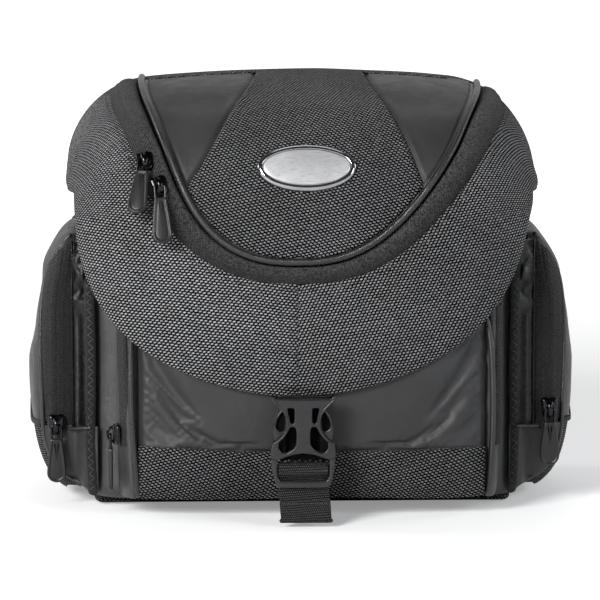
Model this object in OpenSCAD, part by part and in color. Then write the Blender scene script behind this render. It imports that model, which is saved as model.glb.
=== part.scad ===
// Soft camera bag: padded body with a domed front-opening lid, a zipped
// quick-access hatch in the lid, a front pocket, two side pockets and a
// side-release buckle. Millimetres, +Z up, origin at the centre of the base.
// The front faces -Y and left is -X.

/* [Body] */
// Half width of the padded body
body_hw = 125; // [122:0.5:125.5]
// Depth of the body in front of the origin
body_front = 62; // [58:0.5:62]
// Depth of the body behind the origin
body_back = 62; // [58:0.5:62]
// Height of the side walls
wall_top = 178; // [160:0.5:178]
// Corner radius at the front of the body
front_r = 25; // [15:1:28]
// Thickness of the outer shell
shell_t = 4; // [3:0.5:4.5]
// Thickness of the padded liner
liner_t = 6; // [4:0.5:8]

/* [Lid] */
// Radius of the lid's rear edge
back_r = 26; // [24:0.5:28]
// Radius of the lid's crown
crown_r = 263; // [255:1:270]
// Radius of the lid's front shoulder
shoulder_r = 70; // [68:0.5:72]
// Half width of the lid at its skirts
lid_hw = 132; // [131.5:0.5:134]
// Thickness of the padded lid
lid_t = 3.6; // [3:0.1:4]
// Height of the skirt's lower edge above the floor
skirt_z = 177; // [175:0.5:180]

/* [Hatch] */
// Arc length from the lid hinge to the hatch hinge
hatch_s = 64; // [60:1:70]
// Half width of the hatch at its hinge
hatch_w = 96; // [90:0.5:98]
// Arc length at the lowest point of the hatch piping
hatch_end = 242.5; // [236:0.5:244]
// Radius of the piping cord
piping_r = 2.1; // [1.6:0.1:2.4]

/* [Pockets] */
// Half width of the front pocket
pocket_hw = 106; // [100:0.5:108]
// Sideways offset of the front pocket
pocket_x = 2; // [0:0.5:4]
// Depth of the front pocket
pocket_d = 36; // [30:0.5:36]
// Bulge of the side pockets
side_d = 26; // [20:0.5:28]
// Height of the front pocket's woven band
band_top = 36.5; // [30:0.5:42]

/* [Buckle] */
// Width of the buckle
buckle_w = 34; // [33.5:0.5:36]
// Width of the webbing
web_w = 27; // [26:0.5:28]
// Sideways position of the buckle
buckle_x = -3; // [-4:0.5:4]

/* [Hidden] */

// Colours shared by several nodes
shell_colour = [0.12, 0.12, 0.13];
web_colour = [0.1, 0.1, 0.11];
tape_colour = [0.14, 0.14, 0.15];
slider_colour = [0.2, 0.2, 0.22];
pull_colour = [0.22, 0.23, 0.25];
buckle_colour = [0.05, 0.05, 0.06];

// ---- General helpers; side is -1 for left and 1 for right ----
function steps(from, to, count) = [for (i = [0 : count]) from + (to - from) * i / count];
function unit(vector) = vector / norm(vector);
function smooth_step(x) = let(c = min(1, max(0, x))) c * c * (3 - 2 * c);
// superellipse: 1 at x = 0, falling to nearly 0 at x = -1 and 1
function bulge(x, power) = pow(max(0.0001, 1 - pow(abs(x), power)), 1 / power);
// sine and cosine raised to a power, which squares off a round outline
function square_sin(angle, power) = sign(sin(angle)) * pow(abs(sin(angle)), power);
function square_cos(angle, power) = pow(max(0, cos(angle)), power);
// angles from -90 to 90, crowded towards 0 when power is below 1 and the ends when above
function spread_angles(count, power) =
  [for (i = [-count : count]) sign(i) * 90 * (1 - pow((count - abs(i)) / count, power))];

function flatten(grid) = [for (row = grid) each row];
function quad(a, b, c, d) = [[a, b, c], [a, c, d]];
function wound(faces, flip) = flip ? [for (face = faces) [face[0], face[2], face[1]]] : faces;

// closed sheet between an outer and an inner grid of points
module sheet(outer, inner, flip = false) {
  rows = len(outer);
  cols = len(outer[0]);
  under = rows * cols;
  faces = [
    for (i = [0 : rows - 2], j = [0 : cols - 2]) let(k = i * cols + j, next = k + cols)
      each concat(quad(k, k + 1, next + 1, next),
        quad(under + k, under + next, under + next + 1, under + k + 1)),
    for (j = [0 : cols - 2]) let(k = (rows - 1) * cols + j)
      each concat(quad(j, under + j, under + j + 1, j + 1),
        quad(k, k + 1, under + k + 1, under + k)),
    for (i = [0 : rows - 2]) let(k = i * cols, end = k + cols - 1)
      each concat(quad(k, k + cols, under + k + cols, under + k),
        quad(end, under + end, under + end + cols, end + cols))];
  polyhedron(points = concat(flatten(outer), flatten(inner)), faces = wound(faces, flip),
    convexity = 6);
}

// closed tube through rings of points
module tube(rings, flip = false) {
  count = len(rings);
  size = len(rings[0]);
  last = (count - 1) * size;
  faces = [
    for (i = [0 : count - 2], j = [0 : size - 1])
      let(k = i * size + j, next = i * size + (j + 1) % size)
      each quad(k, next, next + size, k + size),
    for (j = [1 : size - 2]) [0, j + 1, j],
    for (j = [1 : size - 2]) [last, last + j, last + j + 1]];
  polyhedron(points = flatten(rings), faces = wound(faces, flip), convexity = 6);
}

function ring_at(centre, axis1, axis2, radius, count) = [for (k = [0 : count - 1])
  centre + radius * (cos(360 * k / count) * axis1 + sin(360 * k / count) * axis2)];

// ---- Lid surface ----
// A spot on the lid is [across, along]: a sideways measure from the centre line,
// and the arc length forward from the hinge.
hinge_y = 72;
hinge_z = 214.8;
lid_end = 314.8;

function arc_step(radius, from, to) = radius * [sin(to) - sin(from), cos(to) - cos(from)];
// arcs of the centre line: [radius, start heading, start arc length, start [y, z]]
function next_arc(arc, radius, heading) = [radius, heading,
  arc[2] + arc[0] * (arc[1] - heading) * PI / 180,
  arc[3] + arc_step(arc[0], arc[1], heading)];
rear_arc = [back_r, 80, 0, [hinge_y, hinge_z]];
crown_arc = next_arc(rear_arc, crown_r, 6);
shoulder_arc = next_arc(crown_arc, shoulder_r, -16);
front_arc = next_arc(shoulder_arc, 1050, -84);
crown_s = crown_arc[2];
shoulder_s = shoulder_arc[2];
front_s = front_arc[2];

// centre line of the lid: [y, z, heading]
function profile(along) = let(
    arc = along <= crown_s ? rear_arc : along <= shoulder_s ? crown_arc :
      along <= front_s ? shoulder_arc : front_arc,
    heading = arc[1] - (along - arc[2]) / arc[0] * 180 / PI,
    point = arc[3] + arc_step(arc[0], arc[1], heading))
  [point[0], point[1], heading];

// direction in which the lid falls away towards its sides
function fall(along) = along <= crown_s ? 0 :
  profile(along)[2] * smooth_step((along - crown_s) / (shoulder_s - crown_s));

// The top is a shallow curve out to top_hw, then a rounded corner, then a straight skirt
top_hw = 86;
corner_span = 75;
corner_w = lid_hw - top_hw;
corner_h = 46;
function corner_angle(across) = min(90, (across - top_hw) / corner_span * 90);
function side_x(across) = abs(across) <= top_hw ? across :
  sign(across) * (top_hw + corner_w * sin(corner_angle(abs(across))));
function side_drop(across) = let(reach = abs(across), angle = corner_angle(reach))
  reach <= top_hw ? 4.5 * (reach / 90) * (reach / 90) :
  4.11 + 4.3 * sin(angle) + corner_h * (1 - cos(angle))
    + max(0, reach - top_hw - corner_span);

function surface_point(spot) =
  let(centre = profile(spot[1]), angle = fall(spot[1]), drop = side_drop(spot[0]))
  [side_x(spot[0]), centre[0] - drop * sin(angle), centre[1] - drop * cos(angle)];
function normal(spot) = let(e = 0.05, across = spot[0], along = spot[1],
    sideways = surface_point([across + e, along]) - surface_point([across - e, along]),
    forward = surface_point([across, min(lid_end, along + e)])
      - surface_point([across, max(0, along - e)]))
  unit(cross(forward, sideways));
function lid_point(spot, height) = surface_point(spot) + height * normal(spot);

// sheet over a grid of spots, between two heights above the surface
module lid_sheet(grid, top, bottom, flip = false)
  sheet([for (row = grid) [for (spot = row) lid_point(spot, top)]],
    [for (row = grid) [for (spot = row) lid_point(spot, bottom)]], flip);

module on_lid(spot) translate(surface_point(spot)) rotate([-profile(spot[1])[2], 0, 0])
  rotate([0, spot[0] < -top_hw ? -9 : 0, 0]) children();

// sideways measure at which the lid has dropped by a given amount, by bisection
function across_at(drop, low = 86, high = 200, tries = 22) = let(middle = (low + high) / 2)
  tries == 0 ? middle :
  side_drop(middle) > drop ? across_at(drop, low, middle, tries - 1) :
  across_at(drop, middle, high, tries - 1);
function skirt(along) = across_at((profile(along)[1] - skirt_z) / cos(fall(along)));

// sideways lean of the hatch, and of the front of the lid's edge
function lean(along) = along < 165 ? 6 - 0.032 * (along - 72) :
  3 - 7.5 * smooth_step((along - 165) / 80);
function edge_lean(along) = -4.5 * smooth_step((along - 195) / 50);

// U-shaped outline round the hatch. run goes from -1 at the left end of the
// hinge through 0 at the lowest point to 1 at the right end.
function hatch_outline(run, wider = 0, longer = 0) = let(
    angle = 90 * (1 - abs(run)),
    along = hatch_s + (hatch_end + longer - hatch_s) * sin(angle))
  [lean(along) + (run < 0 ? -1 : 1) * (hatch_w + wider) * square_cos(angle, 0.8), along];

// outer edge of a flap, from 0 at the hatch hinge to 1 at the lid's tip
tip_s = 190;
tip_skirt = skirt(tip_s);
function flap_edge(side, part) = part < 0.5 ?
  let(along = hatch_s + (tip_s - hatch_s) * part / 0.5) [side * skirt(along), along] :
  let(angle = (part - 0.5) / 0.5 * 90, along = tip_s + (lid_end - tip_s) * sin(angle))
    [edge_lean(along) + side * tip_skirt * cos(angle), along];

// ---- Body ----
gap = 0.2;
seam = 0.3;
base_t = 4;
shell_z = base_t + gap;
shell_floor = 3;
liner_z = shell_z + shell_floor + gap;
liner_floor = 5;
front_wall_top = 196;
rear_wall_top = 205;

// plan outline of the body, grown by grow
module body_plan(grow = 0) {
  depth = body_front + body_back;
  corner_x = body_hw - front_r;
  intersection() {
    translate([-body_hw - grow, -body_front - grow])
      square([2 * (body_hw + grow), depth + 2 * grow]);
    union() {
      translate([-body_hw - grow, -body_front + front_r])
        square([2 * (body_hw + grow), depth - front_r + grow]);
      translate([-corner_x, -body_front - grow]) square([2 * corner_x, 60]);
      for (side = [-1, 1]) translate([side * corner_x, -body_front + front_r])
        circle(r = front_r + grow, $fn = 64);
    }
  }
}

module base_panel() color([0.09, 0.09, 0.10]) linear_extrude(base_t) intersection() {
  body_plan(-8);
  translate([-200, -body_front + 16]) square([400, 200]);
}

// shell with raised middles to the front and rear walls
module main_shell() color(shell_colour) translate([0, 0, shell_z]) difference() {
  union() {
    linear_extrude(wall_top - shell_z) body_plan();
    translate([-92, -body_front, 0]) cube([184, 12, front_wall_top - shell_z]);
    translate([-90, body_back - 12, 0]) cube([180, 12, rear_wall_top - shell_z]);
  }
  translate([0, 0, shell_floor]) linear_extrude(300) body_plan(-shell_t);
}

module padded_liner() color([0.35, 0.35, 0.38]) translate([0, 0, liner_z]) difference() {
  linear_extrude(wall_top - 4 - liner_z) body_plan(-shell_t - gap);
  translate([0, 0, liner_floor]) linear_extrude(300) body_plan(-shell_t - liner_t);
}

module divider(side) color([0.3, 0.3, 0.33]) {
  inset = shell_t + liner_t + seam;
  translate([side * 38 - 3, -body_front + inset, liner_z + liner_floor + gap])
    cube([6, body_front + body_back - 2 * inset, 140]);
}
module divider_left() divider(-1);
module divider_right() divider(1);

// the back panel's top follows the lid's side-to-side curve
module back_panel() color([0.11, 0.11, 0.12]) {
  half_w = 124;
  curve = [for (across = [-131 : 4.367 : 131.02])
    [side_x(across) * 0.985, hinge_z - 0.9 - side_drop(across)]];
  translate([0, hinge_y - gap, 0]) rotate([90, 0, 0])
    linear_extrude(hinge_y - body_back - 2 * gap) polygon(concat(
      [[-half_w, 3], [-half_w, 170]],
      [for (point = curve) if (abs(point[0]) < half_w - 0.1) point],
      [[half_w, 170], [half_w, 3]]));
}

module belt_sleeve() color([0.08, 0.08, 0.09]) translate([0, hinge_y + 0.1, 0]) difference() {
  translate([-55, 0, 62]) cube([110, 5.4, 92]);
  translate([-43, -1, 60]) cube([86, 4.6, 96]);
}

// ---- Front pocket: each level is a squarish half-round outline ----
function front_bulge(z) = bulge((z - 88) / 80, 6);
function front_half(z) = pocket_hw - 4 * smooth_step((100 - z) / 70);
function front_point(angle, z, grow = 0) = [
  pocket_x + square_sin(angle, 0.4) * (front_half(z) * (0.9 + 0.1 * front_bulge(z)) + grow),
  -body_front - gap - square_cos(angle, 0.4) * (pocket_d * front_bulge(z) + grow),
  z];
module pocket_part(bottom, top, count) tube([for (z = steps(bottom, top, count))
  [for (angle = spread_angles(15, 2.2)) front_point(angle, z)]], true);
module front_pocket() color([0.2, 0.2, 0.22]) pocket_part(band_top + seam, 167, 18);
module front_band() color(web_colour) pocket_part(8.6, band_top, 8);

// how far the pocket zip tapes' faces stand off the pockets
tape_outer = 1.3;
tape_inner = 0.25;
function front_tape(side, grow) = [for (z = steps(40, 150, 14))
  [for (angle = [83, 87.4, 89.5, 89.95]) front_point(side * angle, z, grow)]];
module front_zip_tape() color(tape_colour) for (side = [-1, 1])
  sheet(front_tape(side, tape_outer), front_tape(side, tape_inner), side > 0);

// each cord: [angle on the pocket, top height]
module front_piping() color(web_colour) for (cord = [[-50, 109], [56, 104]])
  tube([for (z = steps(12, cord[1], 20))
    ring_at(front_point(cord[0], z, 2.2), [1, 0, 0], [0, 1, 0], 1.6, 8)], true);

// ---- Side pockets ----
side_mid_z = 77;
function side_level(z) = (z - side_mid_z) / 76;
function side_bulge(z) = bulge(side_level(z), side_level(z) < 0 ? 2.4 : 2);
function side_half(z) = 48 * bulge(side_level(z), 8);
function side_point(side, angle, z, grow = 0) = [
  side * (body_hw + seam + square_cos(angle, 0.5) * (side_d * side_bulge(z) + 1.5 + grow)),
  -4 + square_sin(angle, 0.5) * (side_half(z) + grow),
  z];
module side_pocket(side) color(shell_colour)
  tube([for (i = [0 : 26]) let(z = side_mid_z - 75 * cos(180 * i / 26))
    [for (angle = spread_angles(11, 1.8)) side_point(side, angle, z)]], side < 0);
module side_pocket_left() side_pocket(-1);
module side_pocket_right() side_pocket(1);

// gusset between the pocket's front edge and the rounded corner of the body
module side_gusset(side) color([0.16, 0.16, 0.17]) {
  radius = front_r + seam;
  translate([0, 0, 6]) linear_extrude(144) polygon(concat(
    [for (angle = [41 : 4 : 61]) [side * (body_hw - front_r + radius * cos(angle)),
      -body_front + front_r - radius * sin(angle)]],
    [[side * 113.5, -60.6], [side * 122, -58.6], [side * 130.5, -53.9],
      [side * 130.5, -52.4], [side * 121, -52.4]]));
}
module side_gusset_left() side_gusset(-1);
module side_gusset_right() side_gusset(1);

function side_tape(side, grow) = [for (z = steps(40, 142, 14))
  [for (angle = [-84, -80, -76, -72]) side_point(side, angle, z, grow)]];
module side_zip(side) color(tape_colour)
  sheet(side_tape(side, tape_outer), side_tape(side, tape_inner), side < 0);
module side_zip_left() side_zip(-1);
module side_zip_right() side_zip(1);

// ---- D-rings in tabs of folded webbing, at the rear of the side walls ----
ring_y = 57;
ring_z = 147;
tab_w = 15;
tab_z = 96;
fold_r = 3.1;
wire_r = 1.5;
ring_r = 9.5;
ring_leg = 7;
module ring_tab(side) color(web_colour)
  translate([side * (body_hw + seam), ring_y, 0]) mirror([side < 0 ? 1 : 0, 0, 0])
  difference() {
    union() {
      translate([0, -tab_w / 2, tab_z]) cube([1.5, tab_w, ring_z - tab_z]);
      translate([0, -tab_w / 2, tab_z]) cube([3.0, tab_w, 26]);
      translate([fold_r, tab_w / 2, ring_z]) rotate([90, 0, 0])
        cylinder(r = fold_r, h = tab_w, $fn = 40);
    }
    translate([fold_r, 8, ring_z]) rotate([90, 0, 0]) cylinder(r = 1.8, h = 16, $fn = 40);
    translate([fold_r, -8, ring_z - 6]) cube([6, 16, 6]);
  }
module ring_tab_left() ring_tab(-1);
module ring_tab_right() ring_tab(1);

// straight bar through the tab, two legs and a half-round bottom
module ring(side) color([0.25, 0.25, 0.27])
  translate([side * (body_hw + seam + fold_r), ring_y, ring_z]) {
    rotate([90, 0, 0]) translate([0, 0, -ring_r])
      cylinder(r = wire_r, h = 2 * ring_r, $fn = 40);
    for (end = [-1, 1]) translate([0, end * ring_r, 0]) {
      sphere(r = wire_r, $fn = 32);
      translate([0, 0, -ring_leg]) cylinder(r = wire_r, h = ring_leg, $fn = 40);
    }
    translate([0, 0, -ring_leg]) rotate([0, 90, 0]) rotate([0, 0, -90])
      rotate_extrude(angle = 180, $fn = 64) translate([ring_r, 0]) circle(r = wire_r, $fn = 32);
  }
module ring_left() ring(-1);
module ring_right() ring(1);

// ---- Lid ----
// the zip tape runs between the hatch piping and the flaps
tape_gap = 2.7;
tape_side_w = 17;
tape_tip_w = 9;

module lid_rear() color(shell_colour) {
  stations = concat(steps(0, crown_s, 8),
    [for (i = [1 : 6]) crown_s + (hatch_s - seam - crown_s) * i / 6]);
  lid_sheet([for (along = stations) let(half = skirt(along))
    [for (k = [-16 : 16]) [half * k / 16, along]]], 0, -lid_t, true);
}

// the two flaps stop short of each other where they meet at the front
function flap_row(side, part) = let(
    inner = hatch_outline(side * (1 - part), tape_gap + tape_side_w + seam,
      tape_gap + tape_tip_w + seam),
    shift = [part >= 1 ? side * 0.15 : 0, 0])
  [for (spot = steps(inner, flap_edge(side, part), 8)) spot + shift];
module lid_flap(side) color(shell_colour)
  lid_sheet([for (i = [0 : 36]) flap_row(side, i / 36)], 0, -lid_t, side > 0);
module lid_flap_left() lid_flap(-1);
module lid_flap_right() lid_flap(1);

module lid_zip_tape() color([0.16, 0.16, 0.17])
  lid_sheet([for (i = [-36 : 36]) steps(hatch_outline(i / 36, tape_gap, tape_gap),
      hatch_outline(i / 36, tape_gap + tape_side_w, tape_gap + tape_tip_w), 4)],
    -0.5, -lid_t + 0.6);

// ---- Hatch: a middle panel between two fold lines, and a panel on each side ----
piping_inset = 2.4;
hatch_tip = hatch_end - piping_inset;
function fold_half(along) = 31 + 0.0017 * (along - 60) * (along - 60);
function hatch_half(along) = (hatch_w - piping_inset)
  * pow(max(0, 1 - pow((along - hatch_s) / (hatch_tip - hatch_s), 2)), 0.4);

module hatch_panel() color([0.13, 0.13, 0.14])
  lid_sheet([for (i = [0 : 28]) let(
      along = hatch_s + seam + (hatch_tip - 0.4 - hatch_s) * sin(89.4 * i / 28),
      half = min(fold_half(along), hatch_half(along)))
    [for (k = [-7 : 7]) [lean(along) + half * k / 7, along]]], 0, -lid_t, true);

// arc length at which the fold nearly meets the hatch's edge, by bisection
function fold_end(low = 180, high = 225, tries = 20) = let(middle = (low + high) / 2)
  tries == 0 ? low :
  fold_half(middle) + 0.6 < hatch_half(middle) ? fold_end(middle, high, tries - 1) :
  fold_end(low, middle, tries - 1);
module hatch_side(side) color([0.24, 0.24, 0.27])
  lid_sheet([for (along = steps(hatch_s + seam, fold_end(), 18))
    [for (reach = steps(fold_half(along) + seam, hatch_half(along), 6))
      [lean(along) + side * reach, along]]], -0.2, -lid_t, side > 0);
module hatch_side_left() hatch_side(-1);
module hatch_side_right() hatch_side(1);

function piping_point(run) = lid_point(hatch_outline(run), 0.6);
module hatch_piping() color(web_colour)
  tube([for (i = [-40 : 40]) let(
      run = i / 40,
      up = normal(hatch_outline(run)),
      forward = unit(piping_point(min(1, run + 0.02)) - piping_point(max(-1, run - 0.02))))
    ring_at(piping_point(run), up, cross(up, forward), piping_r, 10)], true);

// ---- Badge: an elliptical frame with a plain plate ----
badge_spot = [0.4, 190.6];
module badge_bezel() color([0.3, 0.3, 0.32]) on_lid(badge_spot) translate([0, 0, 0.5])
  difference() {
    scale([1, 0.52, 1]) cylinder(r = 26.8, h = 3.2, $fn = 64);
    translate([0, 0, -1]) scale([1, 0.45, 1]) cylinder(r = 23.9, h = 6, $fn = 64);
  }
module badge_plate() color([0.75, 0.75, 0.77]) on_lid(badge_spot) translate([0, 0, 0.6])
  scale([1, 0.45, 1]) cylinder(r = 23.5, h = 2.2, $fn = 64);

// ---- Zip sliders and pulls ----
eye_z = 5;
pin_z = eye_z + 0.1;
// base plate, cap and a bridge with a cross bore for the pull
module slider_body() difference() {
  union() {
    intersection() {
      translate([-4.6, -6, 0.5]) cube([9.2, 12, 1.4]);
      cylinder(r = 6.6, h = 5, $fn = 48);
    }
    translate([-1.6, -2, 1.9]) cube([3.2, 6.5, 0.8]);
    intersection() {
      translate([-4, -5.4, 2.6]) cube([8, 10.8, 1]);
      cylinder(r = 5.9, h = 5, $fn = 48);
    }
    translate([-1.1, -3.1, 3.5]) cube([2.2, 6.2, eye_z - 3.5]);
    translate([-1.1, 0, eye_z]) rotate([0, 90, 0]) cylinder(r = 2.4, h = 2.2, $fn = 40);
  }
  translate([-3, 0, pin_z]) rotate([0, 90, 0]) cylinder(r = 1.45, h = 6, $fn = 40);
}
// cross pin, two side arms and a tapered tab with a raised rim
module pull_body(tab = 25) translate([0, 0, pin_z]) {
  translate([-3.6, 0, 0]) rotate([0, 90, 0]) cylinder(r = 0.75, h = 7.2, $fn = 32);
  for (arm_x = [-3.6, 2.2]) translate([arm_x, -8.2, -0.75]) cube([1.4, 8.4, 1.5]);
  difference() {
    translate([0, -8, -1.2]) linear_extrude(2.4) polygon([
      [-3.7, 0], [-5.6, -tab + 3], [-4.6, -tab + 0.8], [-3, -tab],
      [3, -tab], [4.6, -tab + 0.8], [5.6, -tab + 3], [3.7, 0]]);
    translate([0, -8, 0.6]) linear_extrude(2) polygon([
      [-2.6, -2], [-4.2, -tab + 3.4], [-2.6, -tab + 1.6],
      [2.6, -tab + 1.6], [4.2, -tab + 3.4], [2.6, -2]]);
  }
}

upper_spot = [-87, 185];
lower_spot = [-79.5, 200];
module lid_slider_upper() color(slider_colour) on_lid(upper_spot) rotate([0, 0, 12]) slider_body();
module lid_pull_upper() color(pull_colour) on_lid(upper_spot) rotate([0, 0, -8]) pull_body();
module lid_slider_lower() color(slider_colour) on_lid(lower_spot) rotate([0, 0, 21]) slider_body();
module lid_pull_lower() color(pull_colour) on_lid(lower_spot) rotate([0, 0, 3]) pull_body();

pocket_tab = 24;
// the right slider sits higher than the left
module at_side(side) translate([side * 137.6, -53.2, side < 0 ? 46 : 54]) rotate([90, 0, 0])
  children();
module side_slider_left() color(slider_colour) at_side(-1) slider_body();
module side_pull_left() color(pull_colour) at_side(-1) pull_body(pocket_tab);
module side_slider_right() color(slider_colour) at_side(1) slider_body();
module side_pull_right() color(pull_colour) at_side(1) pull_body(pocket_tab);
module at_front() translate([pocket_x - 104.1, -80, 45]) rotate([90, 0, -90]) children();
module front_slider() color(slider_colour) at_front() slider_body();
module front_pull() color(pull_colour) at_front() pull_body(pocket_tab);

// ---- Side-release buckle, hanging on the lid's tip and on the strap ----
// Drawn flat: its y is the height above the floor, its z runs forward.
socket_y = -112.6;
socket_top = 71.5;
socket_bot = 37.5;
socket_d = 8.4;
plug_d = 4.2;
mid_d = socket_d / 2;
arm_x = 10.6;
arm_z = 35;
module at_buckle() translate([buckle_x, socket_y, 0]) rotate([90, 0, 0]) children();

function waist(z) = buckle_w / 2 - 8.2 * exp(-pow((z - 52.5) / 9.5, 4));
module buckle_socket() color(buckle_colour) at_buckle() difference() {
  linear_extrude(socket_d) polygon(concat(
    [for (z = steps(socket_bot, socket_top, 24)) [waist(z), z]],
    [for (z = steps(socket_top, socket_bot, 24)) [-waist(z), z]]));
  translate([-14.4, socket_bot - 1, mid_d - 2.3]) cube([28.8, 25, 4.6]);
  translate([-14.5, 65.6, -1]) cube([29, 2.6, 11]);
  for (side = [-1, 1]) {
    translate([side * 5.9, 61.5, 5]) cylinder(r = 1.9, h = 5, $fn = 32);
    translate([side * 8.2, 44.5, 5]) cylinder(r = 4.1, h = 5, $fn = 40);
  }
}

// webbing from the lid's underside round the socket's bar
module socket_loop() color(web_colour) translate([buckle_x - 14, 0, 66]) {
  translate([0, -102.3, 0]) cube([28, 1.4, 22]);
  translate([0, -120, 0]) cube([28, 19.1, 1.6]);
}

module buckle_plug() color(buckle_colour) at_buckle() {
  difference() {
    translate([0, 0, mid_d - 3]) linear_extrude(6) polygon([
      [-17.3, 37], [17.3, 37], [16.6, 30], [14.6, 20.6], [-14.6, 20.6], [-16.6, 30]]);
    translate([-14.3, 24.2, -1]) cube([28.6, 7.4, 12]);
    for (side = [-1, 1]) {
      translate([side * arm_x, arm_z, mid_d - 2.25]) cylinder(r = 2.45, h = 4.5, $fn = 40);
      translate([side * arm_x - 2.45, arm_z, mid_d - 2.25]) cube([4.9, 4, 4.5]);
    }
  }
  translate([-15.6, 27.4, mid_d]) rotate([0, 90, 0]) cylinder(r = 1.3, h = 31.2, $fn = 40);
  translate([-2.2, 36, mid_d - plug_d / 2]) cube([4.4, 18, plug_d]);
  for (side = [-1, 1]) translate([side * arm_x, arm_z, mid_d - 2.9])
    cylinder(r = 1, h = 5.8, $fn = 32);
}

// sprung arm of the plug, turning about its root
module buckle_arm(side) color(buckle_colour) at_buckle() translate([0, 0, mid_d - plug_d / 2])
  difference() {
    outline = [[9, arm_z], [12.2, arm_z], [12.7, 40], [13.2, 46], [13.9, 50],
      [13.5, 53.6], [10.4, 56.4], [8.2, 55], [8.9, 49]];
    union() {
      translate([side * arm_x, arm_z, 0]) cylinder(r = 2.2, h = plug_d, $fn = 40);
      linear_extrude(plug_d) polygon([for (point = outline) [side * point[0], point[1]]]);
    }
    translate([side * arm_x, arm_z, -1]) cylinder(r = 1.08, h = plug_d + 2, $fn = 32);
  }
module buckle_arm_left() buckle_arm(-1);
module buckle_arm_right() buckle_arm(1);

// tail of webbing that passes round the plug's bar and hangs down
web_t = 1.6;
tail_front = -121.6;
tail_back = -113.6;
tail_top = 31;
module strap_tail() color(web_colour) translate([buckle_x - web_w / 2, 0, 0]) difference() {
  union() {
    translate([0, tail_front, 3.6]) cube([web_w, web_t, tail_top - 3.6]);
    translate([0, tail_back, 12]) cube([web_w, web_t, tail_top - 12]);
    translate([0, tail_front, tail_top - web_t])
      cube([web_w, tail_back + web_t - tail_front, web_t]);
  }
  translate([-1, -119.9, 19.6]) cube([web_w + 2, 6.2, 9.7]);
}
module strap_anchor() color(web_colour) translate([buckle_x - web_w / 2, -101.8, 9])
  cube([web_w, 1.8, 20]);

base_panel();
main_shell();
padded_liner();
divider_left();
divider_right();
back_panel();
belt_sleeve();
front_pocket();
front_band();
front_zip_tape();
front_piping();
side_pocket_left();
side_pocket_right();
side_gusset_left();
side_gusset_right();
side_zip_left();
side_zip_right();
ring_tab_left();
ring_tab_right();
strap_anchor();
lid_rear();
lid_flap_left();
lid_flap_right();
lid_zip_tape();
socket_loop();
buckle_socket();
hatch_panel();
hatch_side_left();
hatch_side_right();
hatch_piping();
badge_bezel();
badge_plate();
lid_slider_upper();
lid_slider_lower();
lid_pull_upper();
lid_pull_lower();
side_slider_left();
side_slider_right();
side_pull_left();
side_pull_right();
front_slider();
front_pull();
buckle_plug();
strap_tail();
buckle_arm_left();
buckle_arm_right();
ring_left();
ring_right();
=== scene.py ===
"""A soft camera bag in ballistic nylon: padded shell, hinged lid with a zipped hatch, front
pocket, two side pockets, D-rings, a belt sleeve and a side release buckle.

X runs left (-) to right (+) as seen from the front, -Y is the front, +Z is up and the base
lies at z = 0. Shapes are worked out in millimetres and stored in metres. In side loops `side`
is -1 for the left and +1 for the right.
"""
import bpy
import bmesh
import math
import numpy as np
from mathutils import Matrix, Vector


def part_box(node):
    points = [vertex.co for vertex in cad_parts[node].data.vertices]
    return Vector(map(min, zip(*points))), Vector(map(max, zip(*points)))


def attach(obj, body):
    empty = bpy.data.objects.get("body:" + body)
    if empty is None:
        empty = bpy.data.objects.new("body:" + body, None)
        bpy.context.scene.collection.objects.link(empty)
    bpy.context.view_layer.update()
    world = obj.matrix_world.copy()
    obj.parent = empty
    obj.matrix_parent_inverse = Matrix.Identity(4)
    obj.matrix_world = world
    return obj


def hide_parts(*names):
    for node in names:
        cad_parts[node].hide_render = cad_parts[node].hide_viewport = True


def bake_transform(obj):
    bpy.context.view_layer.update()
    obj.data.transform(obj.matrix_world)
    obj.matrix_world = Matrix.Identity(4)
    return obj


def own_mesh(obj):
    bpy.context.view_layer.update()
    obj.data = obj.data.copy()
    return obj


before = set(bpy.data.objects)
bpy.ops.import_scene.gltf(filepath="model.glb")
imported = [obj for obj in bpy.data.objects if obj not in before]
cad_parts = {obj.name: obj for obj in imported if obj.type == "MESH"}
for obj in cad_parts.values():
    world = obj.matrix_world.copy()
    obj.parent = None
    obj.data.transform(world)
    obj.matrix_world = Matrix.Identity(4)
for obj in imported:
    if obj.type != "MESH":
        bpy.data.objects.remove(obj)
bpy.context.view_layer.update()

MM = 0.001
DEG = math.pi / 180
rng = np.random.default_rng(7)
SIDES = ((-1, "left"), (1, "right"))
FRONT, BACK, UP = (0, -1, 0), (0, 1, 0), (0, 0, 1)


# ---------------------------------------------------------------- shader nodes
class Value:
    """A node output; every arithmetic operation on it adds one Math node."""
    def __init__(self, kit, socket):
        self.kit, self.socket = kit, socket

    def __abs__(self):
        return self.kit.math("ABSOLUTE", self)

    def floor(self):
        return self.kit.math("FLOOR", self)

    def sin(self):
        return self.kit.math("SINE", self)

    def sqrt(self):
        return self.kit.math("SQRT", self)

    def positive(self):
        return self.kit.math("MAXIMUM", self, 0.0)


def operator(operation, swapped=False):
    def apply(self, other):
        return self.kit.math(operation, *((other, self) if swapped else (self, other)))
    return apply


for word, operation in (("add", "ADD"), ("sub", "SUBTRACT"), ("mul", "MULTIPLY"),
                        ("truediv", "DIVIDE"), ("mod", "MODULO"), ("pow", "POWER")):
    setattr(Value, f"__{word}__", operator(operation))
    setattr(Value, f"__r{word}__", operator(operation, swapped=True))

INPUTS = {"color": "Base Color", "rough": "Roughness", "metal": "Metallic", "normal": "Normal",
          "spec": "Specular IOR Level", "sheen": "Sheen Weight",
          "sheen_rough": "Sheen Roughness", "glow": "Emission Strength",
          "glow_col": "Emission Color"}


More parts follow.
